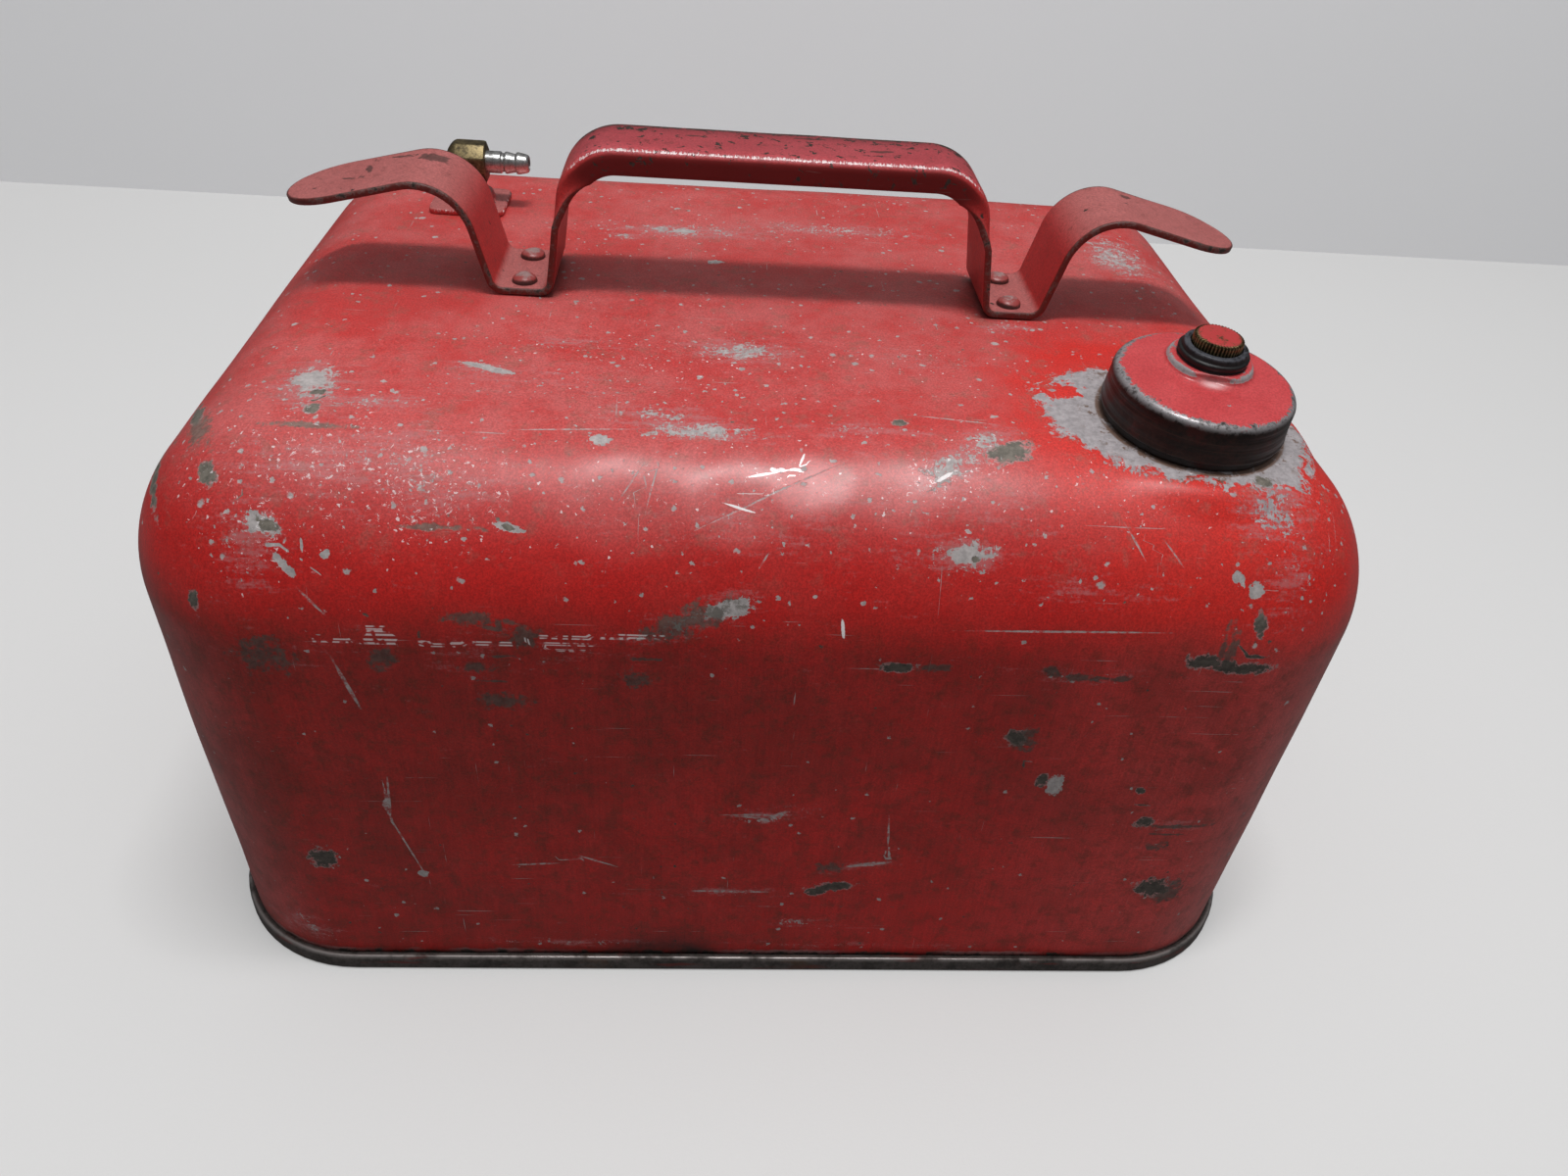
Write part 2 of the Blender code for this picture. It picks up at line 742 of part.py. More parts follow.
def make_filler_frame():
    """An empty on the filler's axis: +Z along the neck, the seat at its zero."""
    filler = bpy.data.objects.new("filler_axis", None)
    PARTS.objects.link(filler)
    filler.location = FILLER_AT
    filler.rotation_mode = "QUATERNION"
    filler.rotation_quaternion = Vector((0.0, 0.0, 1.0)).rotation_difference(FILLER_AXIS)
    return filler


def main():
    global PARTS, CUTTERS
    clear_scene()
    PARTS = new_collection("portable_fuel_tank")
    CUTTERS = new_collection("cutters")
    filler = make_filler_frame()
    shell = make_tank_shell(filler)
    make_bottom_pan()
    make_handle_group(shell)
    make_filler_neck(filler)
    make_filler_cap(filler)
    make_cap_gasket(filler)
    make_vent_collar(filler)
    make_vent_nut(filler)
    make_vent_screw(filler)
    make_vent_small_parts(filler)
    make_outlet_flange()
    make_elbow()
    make_nipple()
    make_pickup()


main()
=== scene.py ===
"""Looks for a portable drawn-steel fuel tank: worn red enamel over grey primer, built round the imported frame.

Metres, +Z up. +X runs along the length and -Y is the front, the side nearest the filler cap.
"""

import json
import math

import bmesh
import bpy
import numpy as np
from mathutils import Matrix, Vector, noise


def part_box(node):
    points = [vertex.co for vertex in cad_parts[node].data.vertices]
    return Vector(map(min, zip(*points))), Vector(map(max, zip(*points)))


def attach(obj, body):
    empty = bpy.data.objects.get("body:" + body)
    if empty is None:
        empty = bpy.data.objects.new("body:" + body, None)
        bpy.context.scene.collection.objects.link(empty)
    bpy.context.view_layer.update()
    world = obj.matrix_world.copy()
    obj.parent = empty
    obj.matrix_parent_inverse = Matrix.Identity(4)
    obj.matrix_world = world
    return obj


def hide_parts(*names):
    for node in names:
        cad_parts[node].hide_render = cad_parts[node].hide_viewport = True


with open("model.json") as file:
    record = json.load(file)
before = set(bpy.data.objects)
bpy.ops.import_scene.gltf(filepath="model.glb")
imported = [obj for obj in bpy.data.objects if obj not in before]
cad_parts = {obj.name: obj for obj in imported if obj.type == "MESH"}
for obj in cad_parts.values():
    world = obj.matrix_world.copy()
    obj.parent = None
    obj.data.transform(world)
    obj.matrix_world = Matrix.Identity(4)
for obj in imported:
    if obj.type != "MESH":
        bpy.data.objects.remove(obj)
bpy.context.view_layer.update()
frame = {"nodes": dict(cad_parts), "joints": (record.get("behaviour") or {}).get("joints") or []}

# Where things are, from the frame.
OVERHANG = 0.0035
GAP = 0.0003
HALF_X, HALF_Y = (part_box("bottom_pan")[1] - Vector((OVERHANG, OVERHANG, 0.0))).xy
TOP_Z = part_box("carry_handle")[0].z - GAP
JOINTS = {joint["name"]: joint for joint in frame["joints"]}
FILLER_AT = Vector(JOINTS["cap_turn"]["pos_m"])
FILLER_AXIS = Vector(JOINTS["cap_turn"]["axis"]).normalized()
VENT_AT = Vector(JOINTS["vent_turn"]["pos_m"])
FILLER_TURN = Vector((0.0, 0.0, 1.0)).rotation_difference(FILLER_AXIS).to_matrix().to_4x4()
FILLER = Matrix.Translation(FILLER_AT) @ FILLER_TURN
VENT_OFFSET = FILLER.inverted() @ VENT_AT
VENT_OFFSET.z = 0.0
VENT = FILLER @ Matrix.Translation(VENT_OFFSET)
OUTLET_LOW, OUTLET_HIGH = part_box("outlet_flange")
OUTLET_AT = Vector(((OUTLET_LOW.x + OUTLET_HIGH.x) / 2, (OUTLET_LOW.y + OUTLET_HIGH.y) / 2, 0.0))
NIPPLE_LOW, NIPPLE_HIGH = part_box("hose_nipple")
BARREL_Z = (NIPPLE_LOW.z + NIPPLE_HIGH.z) / 2

# The drawn shell.
SHOULDER_RUN = 0.050
SHOULDER_DROP = 0.055
CORNER = SHOULDER_RUN + 0.001
SHEET = 0.0010
GRID = 0.00265
FOOT_Z = 0.0055
FLARE = 0.0009
FLARE_FULL_Z = 0.130
FLARE_ENDS_Z = 0.150
SEAT_INNER = 0.0345
SEAT_OUTER = 0.0460
MOUTH_RING = 10
BLOCK_RINGS = 17
ROUND_RINGS = 13
WAVES = ((11.0, 1, 0.00045), (27.0, 2, 0.00022))  # how many to a metre, seed and height
CAP_RADIUS = 0.0303
HEM_LOW, HEM_HIGH = 0.0072, 0.0130
MARK_REACH = 1.35
MARK_DEPTH = 0.012

# The strap handle's bent path, as the frame has it.
STRAP = 0.0027
STRAP_HALF = 0.019
STRAP_EDGE = 0.0006
GRIP_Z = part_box("carry_handle")[1].z - STRAP / 2
GRIP_HALF_RUN = 0.0564
GRIP_BEND = 0.02065
GRIP_FLANGE = 0.0080
GRIP_SIDE = 0.01465
LEG_ANGLE = math.radians(82.3)
FOOT_BEND = 0.0042
FOOT_RUN = 0.01295
WING_BEND = 0.005
WING_ANGLE = math.radians(75.8)
WING_CREST_Z = 0.2583
WING_CREST_RADIUS = 0.0196
WING_SLOPE = math.radians(13.5)
WING_TIP_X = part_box("carry_handle")[1].x
WING_ROUND_RUN = 0.020
CHANNEL_FROM_Z = 0.247
CHANNEL_RISE = GRIP_Z - 0.253
CHANNEL_BEND = 0.0026

# The cap: the heights of its top and its boss, its sheet, and the boss's radius.
CAP_TOP = 0.0171
BOSS_TOP = 0.0200
CAP_SHEET = 0.0010
BOSS = 0.0139
WAIST = math.radians(-102)

# The camera, the lamp and the stage.
CAMERA_AT = (-0.0224, -0.4111, 0.3981)
CAMERA_PITCH, CAMERA_YAW, CAMERA_ROLL = (math.radians(angle) for angle in (38.29, 5.34, 5.03))
LENS, SENSOR = 25.76, 36.0
LAMP_AT = Vector((0.07, -0.20, 1.70))
LAMP_AIM = Vector((0.0, 0.0, 0.11))
LAMP_SIZE = (0.55, 0.13)
LAMP_POWER = 14.9
STAGE_HALF, STAGE_NEAR, WALL_Y, WALL_TOP = 2.6, -2.2, 0.66, 2.2

SHARP = math.radians(50)


# ---------------------------------------------------------------- meshes


def mesh_object(name, verts, faces, body, replaces=(), part=None):
    """A finished piece. part is each vertex's place in the piece's own frame, for its material."""
    mesh = bpy.data.meshes.new(name)
    mesh.from_pydata([tuple(v) for v in verts], [], faces)
    mesh.update()
    mesh.shade_smooth()
    mesh.set_sharp_from_angle(angle=SHARP)
    item = bpy.data.objects.new(name, mesh)
    bpy.context.scene.collection.objects.link(item)
    if part is not None:
        paint(item, "part", np.asarray(part, float))
    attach(item, body)
    if replaces:
        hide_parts(*replaces)
    return item


def paint(item, name, values):
    """Keeps a number or a vector at each vertex, for the materials to read."""
    values = np.asarray(values, np.float32)
    kind, key = ("FLOAT_VECTOR", "vector") if values.ndim == 2 else ("FLOAT", "value")
    layer = item.data.attributes.new(name, kind, "POINT")
    layer.data.foreach_set(key, values.ravel())


def smoothstep(low, high, x):
    """Eases from 0 to 1 as x goes from low to high."""
    t = np.clip((x - low) / (high - low), 0.0, 1.0)
    return t * t * (3 - 2 * t)


def softened(points, steps=4):
    """A profile with rounded corners. A point is (radius, z, cut), cut being how far its corner is cut."""
    result = []
    for index, point in enumerate(points):
        here = Vector(point[:2])
        cut = point[2] if len(point) > 2 else 0.0
        if cut <= 0.0 or index in (0, len(points) - 1):
            result.append(tuple(here))
            continue
        before = Vector(points[index - 1][:2]) - here
        after = Vector(points[index + 1][:2]) - here
        start = here + before.normalized() * min(cut, before.length * 0.48)
        end = here + after.normalized() * min(cut, after.length * 0.48)
        for step in range(steps + 1):
            t = step / steps
            result.append(tuple(start * (1 - t) ** 2 + here * 2 * t * (1 - t) + end * t * t))
    return result


def turned(name, profile, steps, place, body, replaces=(), shape=None, centre=None):
    """A turned piece. shape(radius, angle, z) may move a point, and centre(radius, z) a whole ring."""
    local, rows = [], []
    for radius, z in profile:
        middle = centre(radius, z) if centre else Vector((0.0, 0.0, 0.0))
        row = []
        count = steps if radius > 1e-6 else 1
        for step in range(count):
            angle = math.tau * step / steps
            r, h = shape(radius, angle, z) if shape else (radius, z)
            row.append(len(local))
            local.append(Vector((middle.x + r * math.cos(angle), middle.y + r * math.sin(angle), h)))
        rows.append(row)
    pairs = list(zip(rows, rows[1:]))
    if len(rows[0]) > 1 and len(rows[-1]) > 1:
        pairs.append((rows[-1], rows[0]))
    faces = []
    for low, high in pairs:
        for step in range(steps):
            after = (step + 1) % steps
            if len(low) == 1 and len(high) == 1:
                continue
            if len(low) == 1:
                faces.append((low[0], high[after], high[step]))
            elif len(high) == 1:
                faces.append((low[step], low[after], high[0]))
            else:
                faces.append((low[step], low[after], high[after], high[step]))
    verts = [place @ v for v in local]
    return mesh_object(name, verts, faces, body, replaces, part=local)


def finish_piece(item, material):
    """Joins points that fall together, turns all faces outwards, and puts the material on."""
    bm = bmesh.new()
    bm.from_mesh(item.data)
    bmesh.ops.remove_doubles(bm, verts=bm.verts, dist=0.000002)
    bmesh.ops.recalc_face_normals(bm, faces=bm.faces)
    loose = [v for v in bm.verts if not v.link_faces]
    bmesh.ops.delete(bm, geom=loose, context="VERTS")
    bm.to_mesh(item.data)
    bm.free()
    item.data.shade_smooth()
    item.data.set_sharp_from_angle(angle=SHARP)
    item.data.materials.append(material)


def lift(point, scale, seed):
    """A smooth random number from -1 to 1 at a point."""
    return noise.noise(Vector(point) * scale + Vector((seed * 7.1, seed * 3.7, seed * 5.3)))


# ---------------------------------------------------------------- materials


class Value:
    """A number, vector or colour in a material's node tree, which can be used in sums."""

    def __init__(self, graph, socket):
        self.graph = graph
        self.socket = socket

    def __add__(self, other):
        return self.graph.math("ADD", self, other)

    def __sub__(self, other):
        return self.graph.math("SUBTRACT", self, other)

    def __rsub__(self, other):
        return self.graph.math("SUBTRACT", other, self)

    def __mul__(self, other):
        return self.graph.math("MULTIPLY", self, other)

    __radd__ = __add__
    __rmul__ = __mul__


class Graph:
    """A material's node tree, with one short call for each kind of node."""

    def __init__(self, name):
        self.material = bpy.data.materials.new(name)
        self.material.use_nodes = True
        self.tree = self.material.node_tree
        self.tree.nodes.clear()
        self.at = self.outputs("ShaderNodeTexCoord")["Object"]
        sway = self.vector("SUBTRACT", self.noise(420.0, 3.0, 0.7, output="Color"), (0.5, 0.5, 0.5))
        self.bent = self.vector("ADD", self.at, self.shade(sway, 0.0030))

    def add(self, kind, inputs, **settings):
        """A new node. inputs maps its inputs to numbers, tuples or other nodes' values."""
        node = self.tree.nodes.new(kind)
        for key, value in settings.items():
            setattr(node, key, value)
        for key, value in inputs.items():
            socket = node.inputs[key]
            if isinstance(value, Value):
                self.tree.links.new(value.socket, socket)
            elif socket.type == "RGBA":
                socket.default_value = (*value[:3], 1.0)
            else:
                socket.default_value = value
        return node

    def pick(self, output, kind, inputs, **settings):
        """One output of a new node, by name or number."""
        return Value(self, self.add(kind, inputs, **settings).outputs[output])

    def outputs(self, kind, inputs=(), **settings):
        """All the outputs of a new node, by name."""
        node = self.add(kind, dict(inputs), **settings)
        return {socket.name: Value(self, socket) for socket in node.outputs}

    def math(self, operation, a, b=0.0, clamp=False):
        """A sum of two numbers, held between 0 and 1 when clamp is set."""
        return self.pick(0, "ShaderNodeMath", {0: a, 1: b}, operation=operation, use_clamp=clamp)

    def most(self, *values):
        """The largest of some numbers."""
        result = values[0]
        for value in values[1:]:
            result = self.math("MAXIMUM", result, value)
        return result

    def absolute(self, value):
        return self.math("ABSOLUTE", value)

    def vector(self, operation, a, b=(0.0, 0.0, 0.0), output="Vector"):
        return self.pick(output, "ShaderNodeVectorMath", {0: a, 1: b}, operation=operation)

    def shade(self, colour, amount):
        """A colour or vector made stronger or weaker."""
        return self.pick("Vector", "ShaderNodeVectorMath", {0: colour, "Scale": amount}, operation="SCALE")

    def ramp(self, value, low, high, to_low=0.0, to_high=1.0):
        """Eases from one level to another as the value goes from low to high."""
        inputs = {"Value": value, "From Min": low, "From Max": high, "To Min": to_low, "To Max": to_high}
        return self.pick("Result", "ShaderNodeMapRange", inputs, interpolation_type="SMOOTHSTEP")

    def noise(self, scale, detail=3.0, rough=0.55, at=None, bend=0.0, output="Fac"):
        """Cloudy noise, about scale clouds to a metre."""
        inputs = {"Vector": at or self.at, "Scale": scale, "Detail": detail}
        inputs["Roughness"], inputs["Distortion"] = rough, bend
        return self.pick(output, "ShaderNodeTexNoise", inputs)

    def ragged(self, coarse, fine, detail=5.0, share=0.6):
        """Coarse and fine noise together, for torn edges and mottled metal."""
        return self.noise(coarse, detail, 0.7) * share + self.noise(fine, 3.0, 0.7) * (1 - share)

    def cells(self, scale, at=None):
        """Cells of random points: the distance to the nearest, and a colour for each."""
        return self.outputs("ShaderNodeTexVoronoi", {"Vector": at or self.at, "Scale": scale})

    def stretched(self, scale, turn=(0.0, 0.0, 0.0), at=None):
        """Coordinates turned and then scaled differently along each axis, for noise of scale 1."""
        inputs = {"Vector": at or self.at, "Rotation": turn, "Scale": scale}
        return self.pick(0, "ShaderNodeMapping", inputs, vector_type="POINT")

    def attribute(self, name, output="Fac"):
        """What was painted on the piece under a name."""
        return self.pick(output, "ShaderNodeAttribute", {}, attribute_name=name)

    def part(self):
        """The place in the piece's own frame: the vector, its distance from the axis, and its height."""
        place = self.attribute("part", "Vector")
        across = self.vector("MULTIPLY", place, (1.0, 1.0, 0.0))
        return place, self.vector("LENGTH", across, output="Value"), self.split(place)["Z"]

    def normal(self, axis):
        """How far the surface faces along X, Y or Z."""
        return self.split(self.outputs("ShaderNodeNewGeometry")["Normal"])[axis]

    def split(self, vector):
        """A vector's X, Y and Z."""
        return self.outputs("ShaderNodeSeparateXYZ", {0: vector})

    def blend(self, share, a, b):
        """A mix of two colours."""
        return self.pick(2, "ShaderNodeMix", {0: share, 6: a, 7: b}, data_type="RGBA")

    def level(self, share, a, b):
        """A mix of two numbers."""
        return self.pick(0, "ShaderNodeMix", {0: share, 2: a, 3: b})

    def bump(self, height, distance, strength=1.0, normal=None):
        """A surface direction that shows a height."""
        inputs = {"Height": height, "Distance": distance, "Strength": strength}
        if normal is not None:
            inputs["Normal"] = normal
        return self.pick(0, "ShaderNodeBump", inputs)

    def finish(self, colour, roughness, metallic, normal, specular=0.5, glow=None):
        """Ends the material with its surface, and returns it. glow is a colour and a strength."""
        inputs = {"Base Color": colour, "Roughness": roughness, "Metallic": metallic, "Normal": normal}
        inputs["Specular IOR Level"] = specular
        if glow is not None:
            inputs["Emission Color"], inputs["Emission Strength"] = glow
        surface = self.pick(0, "ShaderNodeBsdfPrincipled", inputs)
        self.add("ShaderNodeOutputMaterial", {"Surface": surface})
        return self.material


def specks(g, scale, share, size):
    """Small uneven spots. share is how many cells have one, and size the largest radius in cells."""
    cells = g.cells(scale, g.bent)
    chance = g.outputs("ShaderNodeSeparateColor", {0: cells["Color"]})
    present = g.math("MULTIPLY", g.math("SUBTRACT", share, chance["Red"]), 12.0, clamp=True)
    radius = present * g.level(chance["Green"] * chance["Green"], size * 0.42, size)
    return g.math("MULTIPLY", g.math("SUBTRACT", radius, cells["Distance"]), 20.0, clamp=True)


def scratches(g, along, across, share, turn=(0.0, 0.0, 0.0)):
    """Fine lines: noise drawn out along one direction and cut at a level."""
    fine = g.noise(1.0, 2.0, 0.5, at=g.stretched((along, across, across), turn))
    return g.ramp(fine, share, share + 0.035)


PRIMER = (0.345, 0.312, 0.320)
OLD_PRIMER = (0.385, 0.348, 0.340)
BARE = (0.170, 0.150, 0.122)
# The same bare steel in painted shade, for the walls turned from the lamp.
BARE_IN_SHADE = (0.082, 0.068, 0.056)
RUST = (0.115, 0.050, 0.022)
# Also the colour of the painted shadow where the handle stands on the top.
SOOT_AND_SHADOW = (0.020, 0.016, 0.014)


def layered(g, red, primer, bare, grain=0.34, bright=None, primer_colour=PRIMER, bare_colour=BARE):
    """Enamel over primer over steel. primer and bare are where each layer shows, and bright is where near white
    is painted: scrapes, and painted highlights and glints.
    """
    mottle = g.noise(420.0, 4.0, 0.7)
    primer_tone = g.shade(primer_colour, g.ramp(mottle, 0.30, 0.72, 0.74, 1.16))
    bare_tone = g.shade(bare_colour, g.ramp(mottle, 0.33, 0.67, 1.15, 0.60))
    colour = g.blend(primer, red, primer_tone)
    colour = g.blend(bare, colour, bare_tone)
    peel = g.noise(900.0, 2.0, 0.5)
    roughness = g.level(g.noise(60.0, 3.0), grain - 0.05, grain + 0.09)
    roughness += primer * 0.22
    roughness += bare * 0.12
    # Near white: painted highlights and glints, with bright scrapes.
    if bright is not None:
        colour = g.blend(bright, colour, (0.82, 0.76, 0.76))
        roughness = g.math("SUBTRACT", roughness, bright * 0.12, clamp=True)
    depth = 1.0 - primer * 0.45
    depth -= bare * 0.45
    depth += peel * 0.1
    depth += g.noise(2600.0, 2.0, 0.5) * (primer * 0.18)
    normal = g.bump(depth, 0.00016, 0.8)
    metallic = bare * 0.12
    return colour, roughness, metallic, normal


def marks_mask(g, layer, ragged=3.0, scale=330.0):
    """Placed marks of one layer: how far out of the mark a place is, its edge ragged, and where to look."""
    parts = g.split(g.attribute(f"marks_{layer}", "Vector"))
    wobble = g.noise(scale, 4.0, 0.68) - 0.5
    across = g.math("POWER", parts["X"] * parts["X"] + parts["Y"] * parts["Y"], 0.5)
    edge = across + wobble * ragged
    inside = g.ramp(parts["Z"], 0.985, 0.999)
    return edge, inside


def dash_mask(g, layer):
    """Two fine broken lines side by side along a placed mark."""
    parts = g.split(g.attribute(f"marks_{layer}", "Vector"))
    beside = g.absolute(g.absolute(parts["Y"]) - 0.58)
    lines = g.ramp(beside, 0.46, 0.16) * g.ramp(g.absolute(parts["X"]), 1.05, 0.95)
    broken = g.ramp(g.noise(1.0, 1.0, 0.4, at=g.stretched((360.0, 20.0, 240.0))), 0.44, 0.52)
    return lines * broken * g.ramp(parts["Z"], 0.985, 0.999)


def body_red(g, up, fresh, cloudy, fine_cloud):
    """The body's enamel by itself: chalky with a painted sheen where it faces up, darker down the walls with
    dirt and painted shade, a painted sheen on the side corners, vivid round the filler.
    """
    red = g.blend(cloudy, (0.420, 0.0075, 0.0060), (0.550, 0.0125, 0.0095))
    red = g.blend(fresh, red, (0.600, 0.016, 0.009))
    red = g.blend(g.ramp(fine_cloud, 0.35, 0.75, 0.0, 0.20), red, (0.45, 0.045, 0.038))
    # Faces turned up are made paler pink: chalky old enamel, and a painted sheen standing for the overhead
    # lamp's reflection.
    chalk_and_sheen = g.ramp(up, 0.5, 0.96) * g.ramp(g.noise(24.0, 6.0, 0.74), 0.36, 0.64, 0.36, 1.0)
    chalk_and_sheen *= g.level(fresh, 0.38, 0.06)
    red = g.blend(chalk_and_sheen, red, (0.575, 0.230, 0.224))
    olive = g.ramp(up, 0.2, 0.8) * g.ramp(g.noise(130.0, 5.0, 0.75), 0.52, 0.66, 0.0, 0.42)
    red = g.blend(olive, red, (0.26, 0.105, 0.080))
    wall_facing = g.ramp(up, 0.42, -0.05)
    place = g.split(g.at)
    side = g.absolute(g.normal("X"))
    # Painted sheen: the walls' side corners and the lower right end are made paler pink, as they look where
    # they turn towards the light; a little of it is dust.
    red = g.blend(g.ramp(up, 0.12, -0.05) * g.ramp(side, 0.06, 0.75, 0.0, 0.34), red, (0.46, 0.22, 0.21))
    dust_and_sheen = wall_facing * g.ramp(place["X"], 0.06, 0.17, 0.0, 0.13)
    red = g.blend(dust_and_sheen, red, (0.46, 0.22, 0.21))
    # The walls are darkened: painted shade for walls turned away from the lamp, mottled with dirt, and eased
    # towards the right end and the foot.
    less_grime_and_shade = g.ramp(place["X"], -0.17, 0.13, 0.0, 0.34) + g.ramp(place["Z"], 0.12, 0.03, 0.0, 0.16)
    grime_and_shade = g.ramp(g.noise(26.0, 6.0, 0.72, bend=0.5), 0.34, 0.66, 0.40, 0.78)
    grime_and_shade = g.math("SUBTRACT", grime_and_shade, less_grime_and_shade, clamp=True)
    red = g.blend(wall_facing * grime_and_shade, red, (0.138, 0.008, 0.0032))
    brown = wall_facing * g.ramp(g.noise(150.0, 6.0, 0.78), 0.46, 0.66, 0.0, 0.5)
    red = g.blend(brown, red, (0.090, 0.021, 0.008))
    streaks = g.noise(1.0, 3.0, 0.6, at=g.stretched((1100.0, 1100.0, 45.0)))
    red = g.shade(red, g.ramp(streaks, 0.35, 0.65, 0.93, 1.07))
    return g.shade(red, g.ramp(g.noise(1500.0, 2.0, 0.7), 0.30, 0.70, 0.80, 1.20))


def body_enamel():
    """The body's whole finish: enamel, primer, bare steel, scrapes, rust and sooty smudges, with painted
    glints, painted shade on the walls' bare steel and a painted shadow where the handle stands.
    """
    g = Graph("enamel_body")
    cloudy = g.noise(13.0, 4.0, 0.55)
    fine_cloud = g.noise(70.0, 4.0, 0.6)
    grit = g.noise(760.0, 4.0, 0.75)
    up = g.normal("Z")
    off_cap = g.attribute("off_cap")
    fresh = g.ramp(off_cap + (fine_cloud - 0.5) * 30.0, 54.0, 14.0)
    red = body_red(g, up, fresh, cloudy, fine_cloud)
    scuff = g.attribute("scuff")
    thin = g.noise(1.0, 4.0, 0.7, at=g.stretched((60.0, 300.0, 300.0), (0.0, 0.0, -0.2)))
    veil = thin * 0.6 + grit * 0.4 + scuff * 0.24
    red = g.blend(g.ramp(veil, 0.60, 0.76, 0.0, 0.50), red, (0.43, 0.18, 0.185))

    streak = g.noise(1.0, 5.0, 0.72, at=g.stretched((190.0, 820.0, 820.0), (0.0, 0.0, 0.14)))
    slant = g.noise(1.0, 5.0, 0.72, at=g.stretched((820.0, 240.0, 240.0), (0.3, 0.0, 0.7)))
    blob = g.noise(175.0, 5.0, 0.72, bend=0.6)
    tangle = g.math("MAXIMUM", streak, slant) * 0.36 + grit * 0.26
    tangle += blob * 0.38
    patches = g.ramp(tangle + scuff * 0.16, 0.658, 0.692)
    gathered = g.ramp(g.noise(38.0, 5.0, 0.7), 0.44, 0.62, 0.0, 0.55)
    many = (0.34 + gathered) * g.ramp(up, 0.2, 0.75, 0.22, 1.0)
    many += scuff * 0.8 * g.ramp(up, -0.05, 0.3, 0.25, 1.0)
    spots = g.most(specks(g, 270.0, many, 0.26), specks(g, 150.0, many * 0.8, 0.21))
    spots = g.most(spots, specks(g, 76.0, many * 0.8, 0.13))
    lines = scratches(g, 20.0, 1300.0, 0.715, (0.0, 0.0, 0.16))
    lines = g.most(lines, scratches(g, 1300.0, 32.0, 0.735, (0.0, 0.4, 0.5)))
    lines *= g.ramp(fine_cloud, 0.44, 0.6, 0.0, 0.7)
    primer = g.most(patches, spots * 0.9, lines)
    edge, inside = marks_mask(g, SHOWS_PRIMER, 2.4, 420.0)
    primer = g.most(primer, g.ramp(edge, 1.06, 0.96) * inside)
    edge, inside = marks_mask(g, FINE_SCRATCH, 1.1)
    thin_line = g.ramp(edge, 1.1, 0.6) * g.ramp(g.noise(300.0, 4.0, 0.75), 0.4, 0.54, 0.15, 0.85)
    primer = g.most(primer, thin_line * inside)

    ring_edge = (g.noise(95.0, 7.0, 0.78, bend=1.2) - 0.5) * 3.9
    ring_edge += (grit - 0.5) * 1.3
    ring = g.ramp(g.attribute("collar") + ring_edge, -0.04, 0.04)
    edge, inside = marks_mask(g, KEEPS_RED, 3.6, 190.0)
    ring = g.math("SUBTRACT", ring, g.ramp(edge, 1.05, 0.95) * inside, clamp=True)
    primer = g.most(primer, ring)

    edge, inside = marks_mask(g, GREY_SMEAR, 4.2, 260.0)
    smear = g.ramp(edge + (tangle - 0.5) * -5.0, 1.4, 0.55, 0.0, 0.8) * inside
    edge, inside = marks_mask(g, DARK_STEEL, 2.6, 230.0)
    other = edge + (grit - 0.5) * 1.6
    bare = g.ramp(other, 1.15, 0.8) * inside
    bare = g.most(bare, specks(g, 205.0, 0.18, 0.17))
    primer = g.most(primer, g.ramp(edge, 1.22, 1.05, 0.0, 0.5) * inside)
    beside = g.ramp(off_cap, 11.0, 3.0) * g.ramp(g.noise(170.0, 5.0, 0.75), 0.54, 0.6)
    rust = g.most(beside, g.ramp(off_cap, 1.4, 0.6) * g.ramp(blob, 0.34, 0.5))
    hem = g.attribute("hem")
    hem_edge = hem + (g.noise(150.0, 5.0, 0.72) - 0.5) * 0.9
    bare = g.most(bare, g.ramp(hem_edge, 0.92, 1.04))
    primer = g.most(primer, g.ramp(hem_edge, 0.62, 0.9) * g.ramp(cloudy, 0.42, 0.56, 0.0, 0.45))

    # Scrapes painted near white: real scratches, drawn as bright as they look where they catch the lamp, so
    # partly a painted highlight.
    edge, inside = marks_mask(g, SCRAPE_AND_GLINT, 1.0, 500.0)
    bright = g.ramp(edge, 1.0, 0.8) * inside
    bright = g.most(bright, dash_mask(g, BROKEN_DASHES) * 0.6)
    # Painted glints: near-white specks and streaks standing for highlights, gathered where the sparkle patches
    # lie and thinly over the top.
    sparkle = g.attribute("sparkle")
    glints = g.ramp(g.noise(430.0, 5.0, 0.8, bend=0.7) + sparkle * 0.085, 0.664, 0.688)
    glints *= g.ramp(sparkle, 0.12, 0.55)
    glint_specks = specks(g, 480.0, sparkle * 0.8, 0.26)
    top_glints = specks(g, 420.0, g.ramp(up, 0.25, 0.6, 0.0, 0.07), 0.24)
    glints = g.most(glints, glint_specks, top_glints)
    bright = g.most(bright, glints * 0.64)

    # Smudges, and the painted shadow where the handle stands, darken the enamel here.
    soot_and_shadow = g.attribute("soot_and_shadow") * g.ramp(g.noise(60.0, 4.0, 0.7), 0.25, 0.6, 0.55, 1.0)
    primer_colour = g.blend(g.ramp(off_cap, 14.0, 32.0), PRIMER, OLD_PRIMER)
    # Bare steel is painted darker on the walls: painted shade, the same steel as on the top.
    steel = g.blend(g.ramp(up, 0.55, 0.05), BARE, BARE_IN_SHADE)
    bare = g.most(bare, smear)
    colour, roughness, metallic, normal = layered(g, red, primer, bare, 0.370, bright, primer_colour, steel)
    colour = g.blend(rust * 0.85, colour, RUST)
    colour = g.blend(soot_and_shadow, colour, SOOT_AND_SHADOW)
    roughness += soot_and_shadow * 0.25
    ding = g.noise(34.0, 3.0, 0.5)
    normal = g.bump(ding, 0.0012, 0.32, normal)
    gloss = g.ramp(up, 0.0, 0.45, 0.38, 0.54)
    return g.finish(colour, roughness, metallic, normal, specular=gloss)


